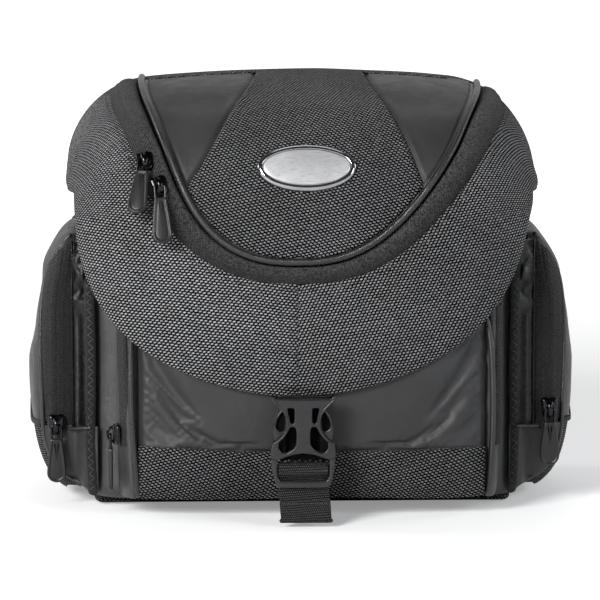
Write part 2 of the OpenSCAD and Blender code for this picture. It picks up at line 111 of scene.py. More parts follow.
class Nodes:
    """Builds nodes in one tree."""
    def __init__(self, tree):
        self.tree = tree
        tree.nodes.clear()

    def node(self, kind, **settings):
        node = self.tree.nodes.new(kind)
        for key, setting in settings.items():
            setattr(node, key, setting)
        return node

    def put(self, socket, value):
        if isinstance(value, Value):
            self.tree.links.new(value.socket, socket)
        else:
            socket.default_value = value

    def fill(self, node, **values):
        """Sets inputs by name (underscores stand for spaces); returns the first output."""
        for key, value in values.items():
            self.put(node.inputs[key.replace("_", " ")], value)
        return Value(self, node.outputs[0])

    def math(self, operation, *values):
        node = self.node("ShaderNodeMath", operation=operation)
        for i, value in enumerate(values):
            self.put(node.inputs[i], value)
        return Value(self, node.outputs[0])

    def ramp(self, value, start, end, low=0.0, high=1.0, smooth=True):
        """Maps start..end onto low..high."""
        kind = "SMOOTHSTEP" if smooth else "LINEAR"
        return self.fill(self.node("ShaderNodeMapRange", interpolation_type=kind), Value=value,
                         From_Min=start, From_Max=end, To_Min=low, To_Max=high)

    def vary(self, noise, low, high):
        """Spreads the middle of a noise over low..high."""
        return self.ramp(noise, 0.3, 0.7, low, high)

    def vec(self, *parts):
        node = self.node("ShaderNodeCombineXYZ")
        for i, part in enumerate(parts):
            self.put(node.inputs[i], part)
        return Value(self, node.outputs[0])

    def grey(self, value, blue):
        """A grey whose blue is multiplied by the given factor."""
        return self.vec(value, value, value * blue)

    def xyz(self, vector):
        node = self.node("ShaderNodeSeparateXYZ")
        self.put(node.inputs[0], vector)
        return [Value(self, output) for output in node.outputs]

    def noise(self, vector, scale, detail=2.0, rough=0.5, distortion=0.0):
        return self.fill(self.node("ShaderNodeTexNoise", noise_dimensions="3D"), Vector=vector,
                         Scale=scale, Detail=detail, Roughness=rough, Distortion=distortion)

    def white(self, vector):
        return self.fill(self.node("ShaderNodeTexWhiteNoise", noise_dimensions="3D"),
                         Vector=vector)

    def uv(self):
        """UV coordinates, which are in mm."""
        return self.xyz(Value(self, self.node("ShaderNodeUVMap", uv_map="UVMap").outputs[0]))

    def pos(self):
        """Object coordinates, in metres."""
        return Value(self, self.node("ShaderNodeTexCoord").outputs["Object"])

    def bump(self, height, distance, strength=1.0, **normal):
        return self.fill(self.node("ShaderNodeBump"), Height=height, Distance=distance,
                         Strength=strength, **normal)

    def bricks(self, x, y, width, height):
        """Rows of cells, each second row half a cell over: place in the cell, and its index."""
        row_place = y / height
        row = row_place.floor()
        col_place = x / width + (abs(row) % 2.0) * 0.5
        col = col_place.floor()
        return (col_place - col) - 0.5, (row_place - row) - 0.5, col, row


class Material(Nodes):
    def __init__(self, name):
        self.material = bpy.data.materials.new(name)
        self.material.use_nodes = True
        super().__init__(self.material.node_tree)
        out = self.node("ShaderNodeOutputMaterial")
        self.bsdf = self.node("ShaderNodeBsdfPrincipled")
        self.tree.links.new(self.bsdf.outputs[0], out.inputs["Surface"])

    def surface(self, **values):
        for key, value in values.items():
            self.put(self.bsdf.inputs[INPUTS[key]], value)
        return self.material


def ballistic(name, turn, thread, width=2.2, slant=0.30):
    """Coarse ballistic nylon: plump oval threads in brick rows, dark gaps, uneven wear.

    turn: weave direction in degrees; thread: thread brightness, which carries the painted
    highlight on the threads; width: cell width in mm.
    """
    mt = Material(name)
    uv = mt.uv()
    cos, sin = math.cos(math.radians(turn)), math.sin(math.radians(turn))
    x = uv[0] * cos + uv[1] * -sin
    y = uv[0] * sin + uv[1] * cos
    x = x + mt.noise(mt.vec(x * 0.02, y * 0.02, 0.0), scale=1.0) * 2.4
    y = y + mt.noise(mt.vec(y * 0.02, x * 0.02, 5.0), scale=1.0) * 2.0
    cell_x, cell_y, col, row = mt.bricks(x, y, width, height=1.5)
    bright = mt.white(mt.vec(col, row, 1.0))
    shift = mt.white(mt.vec(col, row, 7.0))
    cell_x = cell_x + cell_y * slant
    oval_x = abs(cell_x / 0.43) ** 2.2
    oval_y = abs((cell_y + (shift - 0.5) * 0.12) / 0.43) ** 2.2
    oval = 1.0 - (oval_x + oval_y)
    height = oval.positive().sqrt()
    strand = ((cell_y * 34.0).sin() + 1.0) * 0.04
    # the threads are painted bright and the gaps near black: painted highlight on the threads and
    # painted shade in the gaps between them
    mask = mt.ramp(oval, start=0.05, end=0.9)
    wear = mt.ramp(mt.noise(mt.vec(x * 0.012, y * 0.012, 3.0), scale=1.0, detail=3.0),
                   start=0.35, end=0.7, low=0.86, high=1.14)
    body = (((bright * 0.36 + 0.80) * wear) * thread - strand) * 1.0
    # painted shade and highlight: each thread is darker at one edge of its cell and lighter at the
    # other
    painted_thread_shade = mt.ramp(cell_y, start=-0.45, end=0.4, low=0.55, high=1.2, smooth=False)
    return mt.surface(color=mt.grey(mask * (body * painted_thread_shade) + 0.0018, blue=1.03),
                      rough=mt.ramp(mask, 0.0, 1.0, low=0.85, high=0.42),
                      spec=mt.ramp(mask, 0.0, 1.0, low=0.0, high=0.5),
                      normal=mt.bump(height + strand * 1.2, distance=0.0005))


def smooth_nylon(name, base, rough, blue=1.05, wrinkle=0.0010, sheen=0.35, spec=0.5):
    """Smooth coated nylon: very fine plain weave, soft sheen and small slack wrinkles."""
    mt = Material(name)
    pos = mt.pos()
    x, y, z = mt.xyz(pos)
    big = mt.noise(pos, scale=28.0, detail=3.0, rough=0.55)
    mid = mt.noise(pos, scale=95.0, detail=3.0, rough=0.6, distortion=0.4)
    weave = ((x + y * 0.7) * 9000.0).sin() * (z * 9000.0).sin()
    speck = mt.white(mt.vec(*((axis * 1900.0).floor() for axis in (x, y, z))))
    tone = mt.vary(big, 0.85, 1.15) * mt.ramp(speck, 0.0, 1.0, low=0.93, high=1.07)
    fine = mt.bump(weave, distance=0.00006, strength=0.6)
    return mt.surface(color=mt.grey(tone * base, blue),
                      rough=mt.vary(mid, rough - 0.05, rough + 0.07),
                      spec=spec, sheen=sheen, sheen_rough=0.35,
                      normal=mt.bump(big * 0.7 + mid * 0.3, distance=wrinkle, Normal=fine))


def twill(name, base, pitch, relief, low, high, zigzag=1.6, fuzz=0.3, painted_light_ramp=None):
    """Fine herringbone tape with a slightly fuzzy face.

    low, high: brightness of valleys and ridges, painted shade in the valleys and painted highlight
    on the ridges; zigzag: width of a herringbone leg in mm;
    the last argument: brightness change across the tape, as arguments of ramp, a painted highlight
    near one edge and painted shade towards the other.
    """
    mt = Material(name)
    uv = mt.uv()
    leg = mt.math("PINGPONG", uv[0], zigzag)
    phase = (leg + uv[1] * 1.0) * (2 * math.pi / pitch / 1.35)
    ridge = (phase.sin() + 1.0) * 0.5
    cross = ((uv[1] * (2 * math.pi / 0.7)).sin() + 1.0) * 0.5
    height = ridge * 0.75 + cross * 0.25
    pos = mt.pos()
    fluff = mt.noise(pos, scale=780.0, rough=0.6)
    big = mt.noise(pos, scale=60.0)
    # painted highlight near one edge of the tape and painted shade towards the other
    if painted_light_ramp:
        base = mt.ramp(uv[0], **painted_light_ramp, smooth=False) * base
    # valleys painted dark and ridges bright: painted shade in the valleys and painted highlight on
    # the ridges
    tone = mt.ramp(height, 0.0, 1.0, low, high, smooth=False)
    tone = (tone * mt.vary(fluff, 1 - fuzz, 1 + fuzz)) * (mt.vary(big, 0.9, 1.1) * base)
    return mt.surface(color=mt.grey(tone, blue=1.03), rough=0.72, spec=0.3, sheen=0.06,
                      sheen_rough=0.6, normal=mt.bump(height + fluff * 0.8, distance=relief))


def webbing(name, base):
    """Ribbed webbing: small round threads in brick rows."""
    mt = Material(name)
    uv = mt.uv()
    cell_x, cell_y, _, _ = mt.bricks(uv[0], uv[1], width=1.1, height=1.25)
    oval = 1.0 - (abs(cell_x * 2.1) ** 2.0 + abs(cell_y * 2.1) ** 2.0)
    height = oval.positive().sqrt()
    fluff = mt.noise(mt.pos(), scale=1200.0)
    # thread tops painted bright and the gaps near black: painted highlight and painted shade on
    # the ribs
    tone = ((height * 2.4 + 0.08) * mt.vary(fluff, 0.75, 1.25)) * base
    return mt.surface(color=mt.grey(tone, blue=1.04), rough=0.55,
                      spec=mt.ramp(height, start=0.0, end=0.8, low=0.08, high=0.5),
                      normal=mt.bump(height, distance=0.0006))


def plastic(name, base, rough, spec=0.5):
    """Moulded plastic with fine grain and faint scratches."""
    mt = Material(name)
    pos = mt.pos()
    grain = mt.noise(pos, scale=1600.0, detail=3.0, rough=0.6)
    patches = mt.noise(pos, scale=120.0, detail=3.0)
    streaks = mt.vec(*(mt.xyz(pos)[i] * scale for i, scale in enumerate((2600.0, 260.0, 260.0))))
    scratch = mt.ramp(mt.noise(streaks, scale=1.0), start=0.66, end=0.74)
    tone = mt.vary(patches, 0.88, 1.12) * base + scratch * 0.004
    return mt.surface(color=mt.grey(tone, blue=1.08),
                      rough=mt.vary(grain, rough - 0.05, rough + 0.09),
                      spec=spec, normal=mt.bump(grain, distance=0.00004))


def rubber(name, base):
    mt = Material(name)
    pos = mt.pos()
    grain = mt.noise(pos, scale=2200.0, detail=3.0, rough=0.6)
    patches = mt.noise(pos, scale=160.0, detail=3.0)
    return mt.surface(color=mt.grey(mt.vary(patches, 0.88, 1.12) * base, blue=1.10),
                      rough=mt.vary(grain, 0.30, 0.42), spec=0.5,
                      normal=mt.bump(grain, distance=0.00005))


def metal(name, color, rough, metalness=1.0, brushed=False, pit=0.00004):
    """Metal with fine pits, or with brush lines along X."""
    mt = Material(name)
    pos = mt.pos()
    if brushed:
        x, y, z = mt.xyz(pos)
        lines = mt.vec(x * 220.0, y * 5200.0, z * 5200.0)
        grain = mt.noise(lines, scale=1.0, detail=3.0, rough=0.6)
    else:
        grain = mt.noise(pos, scale=900.0, detail=3.0, rough=0.6)
    wear = mt.ramp(mt.noise(pos, scale=70.0, detail=3.0), start=0.35, end=0.75,
                   low=0.9, high=1.1)
    tone = mt.vary(grain, 0.92, 1.08) * wear
    return mt.surface(color=mt.vec(*(tone * channel for channel in color)), metal=metalness,
                      rough=mt.vary(grain, max(0.05, rough - 0.06), rough + 0.08),
                      normal=mt.bump(grain, distance=pit))


def sewing_thread(name, base):
    mt = Material(name)
    x, y, z = mt.xyz(mt.pos())
    twist = ((x + y + z) * 14000.0).sin()
    tone = mt.ramp(twist, start=-1.0, end=1.0, low=0.7, high=1.25, smooth=False) * base
    return mt.surface(color=mt.grey(tone, blue=1.03), rough=0.5, spec=0.5, sheen=0.3,
                      normal=mt.bump(twist, distance=0.00008))


def brushed_lining(name, base):
    mt = Material(name)
    pos = mt.pos()
    pile = mt.noise(pos, scale=2400.0, detail=3.0, rough=0.7)
    patches = mt.noise(pos, scale=45.0, detail=3.0)
    tone = (mt.vary(pile, 0.75, 1.25) * mt.vary(patches, 0.88, 1.12)) * base
    return mt.surface(color=mt.grey(tone, blue=1.04), rough=0.92, spec=0.15, sheen=0.6,
                      sheen_rough=0.6, normal=mt.bump(pile, distance=0.0002))


def spacer_mesh(name, base):
    """Open air mesh: rows of round holes."""
    mt = Material(name)
    uv = mt.uv()
    cell_x, cell_y, _, _ = mt.bricks(uv[0], uv[1], width=3.0, height=2.6)
    radius = (cell_x * cell_x + cell_y * cell_y).sqrt()
    solid = mt.ramp(radius, start=0.20, end=0.36)
    fluff = mt.noise(mt.pos(), scale=1500.0)
    tone = ((solid * 0.9 + 0.1) * mt.vary(fluff, 0.8, 1.2)) * base
    return mt.surface(color=mt.grey(tone, blue=1.03), rough=0.75, spec=0.3, sheen=0.3,
                      normal=mt.bump(solid, distance=0.0006))


# the left flap's threads are painted brighter than the right flap's: a lit and a shaded copy of
# one fabric
FLAP_LEFT = ballistic("ballistic_flap_left", turn=-7, width=2.35, thread=0.37)
FLAP_RIGHT = ballistic("ballistic_flap_right", turn=9, thread=0.28)
HATCH = ballistic("ballistic_hatch", turn=12, thread=0.25, slant=-0.3)
BAND = ballistic("ballistic_band", turn=-14, thread=0.19)
GUARD = ballistic("ballistic_guard", turn=4, thread=0.17)
NYLON = smooth_nylon("nylon_smooth", base=0.0195, rough=0.46, sheen=0.05)
NYLON_SIDE = smooth_nylon("nylon_side", base=0.013, rough=0.36, wrinkle=0.0012, sheen=0.04)
NYLON_GUSSET = smooth_nylon("nylon_gusset", base=0.003, rough=0.25, blue=1.04,
                            wrinkle=0.0011, spec=0.42, sheen=0.0)
NYLON_BODY = smooth_nylon("nylon_body", base=0.044, rough=0.42, blue=1.02, wrinkle=0.0019,
                          sheen=0.08)
NYLON_HATCH = smooth_nylon("nylon_hatch", base=0.027, rough=0.46, blue=1.04, spec=0.38,
                           sheen=0.04)
# the lid's zip tape is painted bright by the piping and dark towards the flap: painted highlight
# and painted shade
LID_TWILL = twill("zip_tape_twill", base=0.022, pitch=1.5, relief=0.0009, zigzag=4.2,
                  fuzz=0.95, low=0.55, high=1.5,
                  painted_light_ramp=dict(start=1.0, end=17.0, low=1.9, high=0.10))
POCKET_TWILL = twill("zip_tape_pocket", base=0.0075, pitch=1.35, relief=0.0008, fuzz=0.7,
                     low=0.1, high=2.1)
PIPING = smooth_nylon("piping_cover", base=0.014, rough=0.30, blue=1.02, wrinkle=0.0002,
                      sheen=0.05, spec=0.6)
BINDING = twill("bound_seam_tape", base=0.0065, pitch=1.2, low=0.1, high=1.9, relief=0.0004)
WEBBING = webbing("webbing_ribbed", base=0.0135)
ACETAL = plastic("buckle_acetal", base=0.016, rough=0.28)
# near-black plastic for the buckle's inner parts: painted shade inside the buckle, where the real
# parts are the same plastic as the rest
BUCKLE_SHADE = plastic("buckle_inner_shade", base=0.0012, rough=0.8, spec=0.12)
RUBBER = rubber("pull_rubber", base=0.009)
ENAMEL = metal("slider_enamel", color=(0.035, 0.035, 0.038), rough=0.14)
RING_METAL = metal("ring_coated", color=(0.05, 0.05, 0.055), rough=0.3)
BRUSHED = metal("plate_brushed", color=(0.60, 0.60, 0.605), rough=0.32, metalness=0.45,
                brushed=True, pit=0.000004)
CHROME = metal("bezel_chrome", color=(0.42, 0.42, 0.44), rough=0.09, pit=0.000004)
COIL = plastic("zip_coil", base=0.012, rough=0.3)
THREAD = sewing_thread("stitch_thread", base=0.06)
THREAD_DARK = sewing_thread("stitch_thread_dark", base=0.014)
LINING = brushed_lining("padded_lining", base=0.11)
LID_LINING = smooth_nylon("lid_lining", base=0.06, rough=0.6, wrinkle=0.0008)
AIR_MESH = spacer_mesh("back_air_mesh", base=0.03)


# ---------------------------------------------------------------- number helpers
def ease(value):
    """Smooth step from 0 to 1."""
    value = np.clip(value, 0, 1)
    return value * value * (3 - 2 * value)


def bell(distance, width, power=2):
    return np.exp(-(distance / width) ** power)


def hump(share):
    return np.sin(math.pi * share)


def dome(place, power):
    """Superellipse height over -1..1."""
    return np.maximum(1e-4, 1 - np.abs(place) ** power) ** (1 / power)


def grid(x, y, z):
    return np.stack(np.broadcast_arrays(x, y, z), -1)


def column(start, end, count):
    return np.linspace(start, end, count)[:, None]


def row(start, end, count):
    return np.linspace(start, end, count)[None, :]


def unit(vectors):
    return vectors / np.maximum(np.linalg.norm(vectors, axis=-1, keepdims=True), 1e-9)


def run_length(points):
    """Distance travelled along a line of points."""
    return np.concatenate([[0], np.cumsum(np.linalg.norm(np.diff(points, axis=0), axis=1))])


def interp_rows(places, known, table):
    return np.stack([np.interp(places, known, col) for col in np.asarray(table, float).T], -1)


def by_index(points, count=90):
    """Points spaced evenly by index, not by length."""
    return interp_rows(np.linspace(0, 1, count), np.linspace(0, 1, len(points)), points)


def closed(points):
    return np.vstack([points, points[:1]])


def even_ring(points, count):
    """A closed outline as `count` evenly spaced points."""
    loop = closed(points)
    run = run_length(loop)
    return interp_rows(np.linspace(0, run[-1], count, endpoint=False), run, loop)


def resample(path, step, hint=None):
    """Even steps along a path; with a hint, also its interpolated unit normals."""
    path = np.asarray(path, float)
    run = run_length(path)
    places = np.linspace(0, run[-1], max(2, int(round(run[-1] / step)) + 1))
    points = interp_rows(places, run, path)
    if hint is None:
        return points
    return points, unit(interp_rows(places, run, np.broadcast_to(hint, path.shape)))


def smooth_path(path, passes=30):
    path = path.copy()
    for _ in range(passes):
        path[1:-1] = 0.25 * path[:-2] + 0.5 * path[1:-1] + 0.25 * path[2:]
    return path


def smooth_ring(ring, passes):
    for _ in range(passes):
        ring = 0.25 * np.roll(ring, 1, 0) + 0.5 * ring + 0.25 * np.roll(ring, -1, 0)
    return ring


def frames(path, hint):
    """Tangent, normal nearest the hint, and side vector at each point of a path."""
    tangent = unit(np.gradient(path, axis=0))
    hint = np.broadcast_to(np.asarray(hint, float), path.shape)
    normal = unit(hint - tangent * np.sum(hint * tangent, axis=1, keepdims=True))
    return tangent, normal, np.cross(tangent, normal)


def circle(radius, count):
    angles = [2 * math.pi * i / count for i in range(count)]
    return [(radius * math.cos(a), radius * math.sin(a)) for a in angles]


def facing_normals(points, outward):
    """Normals of a grid (rows, columns, 3), on the side that outward points to."""
    normal = unit(np.cross(np.gradient(points, axis=0), np.gradient(points, axis=1)))
    return -normal if np.mean(np.sum(normal * outward, axis=-1)) < 0 else normal


def edge_dist(points, sides="lrtb"):
    """Distance along a grid to the nearest named side: l, r columns; t, b first, last row."""
    rows, cols = points.shape[:2]
    across = np.cumsum(np.linalg.norm(np.diff(points, axis=1), axis=2), axis=1)
    across = np.concatenate([np.zeros((rows, 1)), across], axis=1)
    down = np.cumsum(np.linalg.norm(np.diff(points, axis=0), axis=2), axis=0)
    down = np.concatenate([np.zeros((1, cols)), down], axis=0)
    dists = {"l": across, "r": across[:, -1:] - across, "t": down, "b": down[-1:, :] - down}
    return np.minimum.reduce([dists[name] for name in sides])


def cloth_noise(points, size, seed, octaves=3):
    """Repeatable smooth noise, about -1..1, on points (..., 3); size in mm."""
    out = np.zeros(points.shape[:-1])
    amp, total = 1.0, 0.0
    for octave in range(octaves):
        place = points / (size / (2 ** octave)) + 17.3 * seed + 5.1 * octave
        cell = np.floor(place).astype(np.int64)
        part = place - cell
        part = part * part * (3 - 2 * part)

        def corner(a, b, c):
            key = a * 374761393 + b * 668265263 + c * 2147483647 + seed * 1274126177
            key = key & 0xFFFFFFFF
            key = ((key ^ (key >> 13)) * 1274126177) & 0xFFFFFFFF
            key = (key ^ (key >> 16)) & 0xFFFFFFFF
            return key / 4294967295.0 * 2 - 1

        value = 0
        for step in np.ndindex(2, 2, 2):
            weight = 1
            for axis in range(3):
                weight = weight * (part[..., axis] if step[axis] else 1 - part[..., axis])
            value = value + weight * corner(*(cell[..., axis] + step[axis] for axis in range(3)))
        out += amp * value
        total += amp
        amp *= 0.5
    return out / total


def rot_x(angle):
    c, s = math.cos(angle), math.sin(angle)
    return np.array([[1, 0, 0], [0, c, -s], [0, s, c]])


def rot_y(angle):
    c, s = math.cos(angle), math.sin(angle)
    return np.array([[c, 0, s], [0, 1, 0], [-s, 0, c]])


def rot_z(angle):
    c, s = math.cos(angle), math.sin(angle)
    return np.array([[c, -s, 0], [s, c, 0], [0, 0, 1]])


# ---------------------------------------------------------------- mesh helpers
def add_object(name, verts, faces, mats, body, uvs=None, face_mats=None, replaces=None,
               slot=None, weld=1e-5, sharp=None):
    """Makes an object from mm points. replaces: a frame node, or True for the own name."""
    mesh = bpy.data.meshes.new(name)
    mesh.from_pydata((np.asarray(verts, float) * MM).tolist(), [], faces)
    for mat in mats:
        mesh.materials.append(mat)
    if face_mats is not None:
        mesh.polygons.foreach_set("material_index", np.array(face_mats, dtype=np.int32))
    if uvs is not None:
        layer = mesh.uv_layers.new(name="UVMap")
        index = np.zeros(len(mesh.loops), dtype=np.int32)
        mesh.loops.foreach_get("vertex_index", index)
        layer.data.foreach_set("uv", np.asarray(uvs, dtype=np.float32)[index].ravel())
    bm = bmesh.new()
    bm.from_mesh(mesh)
    bmesh.ops.remove_doubles(bm, verts=bm.verts, dist=weld)
    bmesh.ops.dissolve_degenerate(bm, edges=bm.edges, dist=weld)
    bmesh.ops.recalc_face_normals(bm, faces=bm.faces)
    bm.to_mesh(mesh)
    bm.free()
    mesh.polygons.foreach_set("use_smooth", np.ones(len(mesh.polygons), bool))
    if sharp:
        mesh.set_sharp_from_angle(angle=math.radians(sharp))
    mesh.validate()
    ob = bpy.data.objects.new(name, mesh)
    bpy.context.scene.collection.objects.link(ob)
    if body:
        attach(ob, body)
    if replaces:
        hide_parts(name if replaces is True else replaces)
    return ob


def sheet(name, points, uv, thickness, mats, body, outward, **told):
    """Closed soft sheet: outer grid in mm, thickness inwards, rolled rim; mats: outer, inner."""
    rows, cols = points.shape[:2]
    uv = np.stack(np.broadcast_arrays(*uv, points[..., 0])[:2], -1)
    normal = facing_normals(points, outward)
    rim = ([(0, j) for j in range(cols)] + [(i, cols - 1) for i in range(1, rows)]
           + [(rows - 1, j) for j in range(cols - 2, -1, -1)]
           + [(i, 0) for i in range(rows - 2, 0, -1)])
    verts = list(points.reshape(-1, 3)) + list((points - normal * thickness).reshape(-1, 3))
    uvs = list(uv.reshape(-1, 2)) * 2
    count = rows * cols
    faces, face_mats = [], []
    for i in range(rows - 1):
        for j in range(cols - 1):
            a = i * cols + j
            b, c, d = a + 1, a + cols + 1, a + cols
            faces += [(a, b, c, d), (count + a, count + d, count + c, count + b)]
            face_mats += [0, 1]
    top = [i * cols + j for i, j in rim]
    loops = [top]
    half = thickness / 2
    for angle in (40, 90, 140):
        cos, sin = math.cos(math.radians(angle)), math.sin(math.radians(angle))
        loops.append(list(range(len(verts), len(verts) + len(rim))))
        for i, j in rim:
            near = (min(max(i, 1), rows - 2), min(max(j, 1), cols - 2))
            point, up = points[i, j], normal[i, j]
            out = point - points[near]
            out = out - up * np.dot(out, up)
            length = np.linalg.norm(out)
            out = out / length if length > 1e-6 else out * 0
            verts.append(point - up * half + up * half * cos + out * half * sin * 0.7)
            step = uv[i, j] - uv[near]
            length = np.linalg.norm(step)
            step = step / length if length > 1e-6 else step
            uvs.append(uv[i, j] + step * math.radians(angle) * thickness / 2)
    loops.append([count + v for v in top])
    for k in range(4):
        upper, lower = loops[k], loops[k + 1]
        for i in range(len(rim)):
            j = (i + 1) % len(rim)
            faces.append((upper[i], lower[i], lower[j], upper[j]))
            face_mats.append(1 if k == 3 else 0)
    return add_object(name, verts, faces, mats, body, uvs, face_mats, **told)


def tube(name, path, hint, profile, mat, body, round_ends=True, **told):
    """Sweeps a closed profile [(side, normal)] in mm along a path."""
    path = np.asarray(path, float)
    tangent, normal, across = frames(path, hint)
    profile = np.asarray(profile, float)
    scale = np.ones(len(path))
    if round_ends:
        radius = np.max(np.abs(profile))
        head, tail = path[0], path[-1]
        path = np.vstack([head - tangent[0] * radius * 0.9, head - tangent[0] * radius * 0.6,
                          path, tail + tangent[-1] * radius * 0.6,
                          tail + tangent[-1] * radius * 0.9])
        normal, across = (np.pad(a, ((2, 2), (0, 0)), mode="edge") for a in (normal, across))
        scale = np.concatenate([[0.35, 0.8], scale, [0.8, 0.35]])
    count, size = len(path), len(profile)
    run = run_length(path)
    girth = run_length(closed(profile))
    verts, uvs, faces = [], [], []
    for i in range(count):
        for j in range(size):
            verts.append(path[i] + across[i] * profile[j, 0] * scale[i]
                         + normal[i] * profile[j, 1] * scale[i])
            uvs.append((girth[j], run[i]))
    for i in range(count - 1):
        for j in range(size):
            a, b = i * size + j, i * size + (j + 1) % size
            faces.append((a, b, b + size, a + size))
    faces.append(list(range(size))[::-1])
    faces.append([(count - 1) * size + j for j in range(size)])
    return add_object(name, verts, faces, [mat], body, uvs, **told)


def stitches(name, path, hint, body, pitch, length, radius, mat=THREAD_DARK, lift=0.12):
    """A row of separate sewn stitches lying on the path."""
    points, hint = resample(path, 0.5, hint)
    _, normal, across = frames(points, hint)
    run = np.arange(len(points)) * 0.5
    sides = 6
    # share of the length, thickness, rise
    stations = [(-0.5, 0.25, -0.20), (-0.36, 0.9, 0.04), (0.0, 1.0, 0.16), (0.36, 0.9, 0.04),
                (0.5, 0.25, -0.20)]
    verts, faces = [], []
    for number in range(int(run[-1] // pitch)):
        mid = (number + 0.5) * pitch + float(rng.uniform(-0.12, 0.12))
        base = len(verts)
        for share, scale, rise in stations:
            place = mid + share * length
            i = int(np.clip(round(place / 0.5), 0, len(points) - 1))
            centre = interp_rows(place, run, points) + normal[i] * (lift + rise)
            for x, y in circle(1.0, sides):
                verts.append(centre + (across[i] * x + normal[i] * y) * radius * scale)
        for ring in range(4):
            for j in range(sides):
                a, b = base + ring * sides + j, base + ring * sides + (j + 1) % sides
                faces.append((a, b, b + sides, a + sides))
        faces.append([base + j for j in range(sides)][::-1])
        faces.append([base + 4 * sides + j for j in range(sides)])
    return add_object(name, verts, faces, [mat], body, weld=1e-7)


def loft(name, rings, mats, body, pick=None, caps=True, **told):
    """Joins closed rings (n, m, 3) in mm; pick(centre, i, j) gives a face's material index."""
    rings = np.asarray(rings)
    count, size = rings.shape[:2]
    seamed = np.concatenate([rings, rings[:, :1]], axis=1)
    girth = run_length(seamed[count // 2])
    steps = np.mean(np.linalg.norm(np.diff(seamed, axis=0), axis=2), axis=1)
    run = np.concatenate([[0], np.cumsum(steps)])
    wide = size + 1
    verts = list(seamed.reshape(-1, 3))
    uvs = [(x, y) for y in run for x in girth]
    faces, face_mats = [], []
    pick = pick or (lambda centre, i, j: 0)
    for i in range(count - 1):
        for j in range(size):
            a = i * wide + j
            faces.append((a, a + 1, a + wide + 1, a + wide))
            face_mats.append(pick((seamed[i, j] + seamed[i + 1, j + 1]) / 2, i, j))
    if caps:
        for i, reverse in ((0, True), (count - 1, False)):
            centre = rings[i].mean(axis=0)
            hub = len(verts)
            for point in (centre, *seamed[i]):
                verts.append(point)
                uvs.append((point[0], point[1]))
            for a in range(hub + 1, hub + 1 + size):
                faces.append((hub, a + 1, a) if reverse else (hub, a, a + 1))
                face_mats.append(pick(centre, i, 0))
    return add_object(name, verts, faces, mats, body, uvs, face_mats, **told)


# ---------------------------------------------------------------- lid surface
# `across` is measured sideways over the lid, `arc` from the back edge forward and down.
# Section arcs: radius, start and end slope in degrees.
LID_ARCS = [(26, 80, 6), (263, 6, -16), (70, -16, -84), (1050, -84, -200)]
LID_BACK_Y, LID_TOP = 72.0, 214.8
CROWN_START = 26 * 74 * DEG
CROWN_END = CROWN_START + 263 * 22 * DEG
LID_TIP = 314.8          # arc where the flaps end at the front
HATCH_START = 64.0       # arc of the hatch's hinge
HATCH_HALF = 96.0
HATCH_END = 242.5
HATCH_INNER_END = HATCH_END - 2.4
LID_FLAT = 86            # half-width before the lid turns down
TURN_SPAN = 75           # across distance over which it turns down
SKIRT_ARC = 190.0        # beyond this arc the edge curves towards the tip


def section(arc):
    """y, z and slope in degrees along the lid's middle."""
    arc = np.asarray(arc, float)
    y0, z0, start = LID_BACK_Y, LID_TOP, 0.0
    y, z, slope = np.zeros_like(arc), np.zeros_like(arc), np.zeros_like(arc)
    for i, (radius, first, last) in enumerate(LID_ARCS):
        inside = (arc >= start) | (i == 0)
        angle = first * DEG - (arc - start) / radius
        y = np.where(inside, y0 - radius * (np.sin(first * DEG) - np.sin(angle)), y)
        z = np.where(inside, z0 + radius * (np.cos(angle) - np.cos(first * DEG)), z)
        slope = np.where(inside, angle / DEG, slope)
        y0 -= radius * (math.sin(first * DEG) - math.sin(last * DEG))
        z0 += radius * (math.cos(last * DEG) - math.cos(first * DEG))
        start += radius * (first - last) * DEG
    return y, z, slope


def drop_tilt(arc):
    """Tilt of the direction in which the sides drop, in degrees."""
    arc = np.asarray(arc, float)
    slope = section(arc)[2]
    share = ease((arc - CROWN_START) / (CROWN_END - CROWN_START))
    return np.where(arc <= CROWN_START, 0, np.where(arc <= CROWN_END, slope * share, slope))


def lid_x(across):
    size = np.abs(across)
    turn = np.clip((size - LID_FLAT) / TURN_SPAN * 90, 0, 90) * DEG
    return np.where(size <= LID_FLAT, across, np.sign(across) * (LID_FLAT + 46 * np.sin(turn)))


def lid_drop(across):
    size = np.abs(across)
    turn = np.clip((size - LID_FLAT) / TURN_SPAN * 90, 0, 90) * DEG
    outer = (4.11 + 4.3 * np.sin(turn) + 46 * (1 - np.cos(turn))
             + np.maximum(0, size - LID_FLAT - TURN_SPAN))
    return np.where(size <= LID_FLAT, 4.5 * (size / 90) ** 2, outer)


def lid_at(across, arc):
    across, arc = np.broadcast_arrays(np.asarray(across, float), np.asarray(arc, float))
    y, z, _ = section(arc)
    tilt = drop_tilt(arc) * DEG
    drop = lid_drop(across)
    return np.stack([lid_x(across), y - drop * np.sin(tilt), z - drop * np.cos(tilt)], axis=-1)


def lid_normal(across, arc):
    eps = 0.05
    side_step = lid_at(across + eps, arc) - lid_at(across - eps, arc)
    arc_step = lid_at(across, arc + eps) - lid_at(across, arc - eps)
    normal = np.cross(arc_step, side_step)
    return normal / np.linalg.norm(normal, axis=-1, keepdims=True)


def lid_raised(across, arc, height):
    height = np.asarray(height, float)
    return (lid_at(across, arc)
            + (height[..., None] if height.ndim else height) * lid_normal(across, arc))


def lid_sheet(name, across, arc, height, thickness, mats, body, uv=None, **told):
    across, arc, height = np.broadcast_arrays(across, arc, height)
    sheet(name, lid_raised(across, arc, height), uv or (across, arc), thickness, mats, body,
          outward=lid_normal(across, arc), **told)


def lean(arc):
    """Sideways drift of the hatch's middle line."""
    arc = np.asarray(arc, float)
    return np.where(arc < 165, 6 - 0.032 * (arc - 72), 3 - 7.5 * ease((arc - 165) / 80))


DROP_ACROSS = np.linspace(LID_FLAT, 210, 2000)


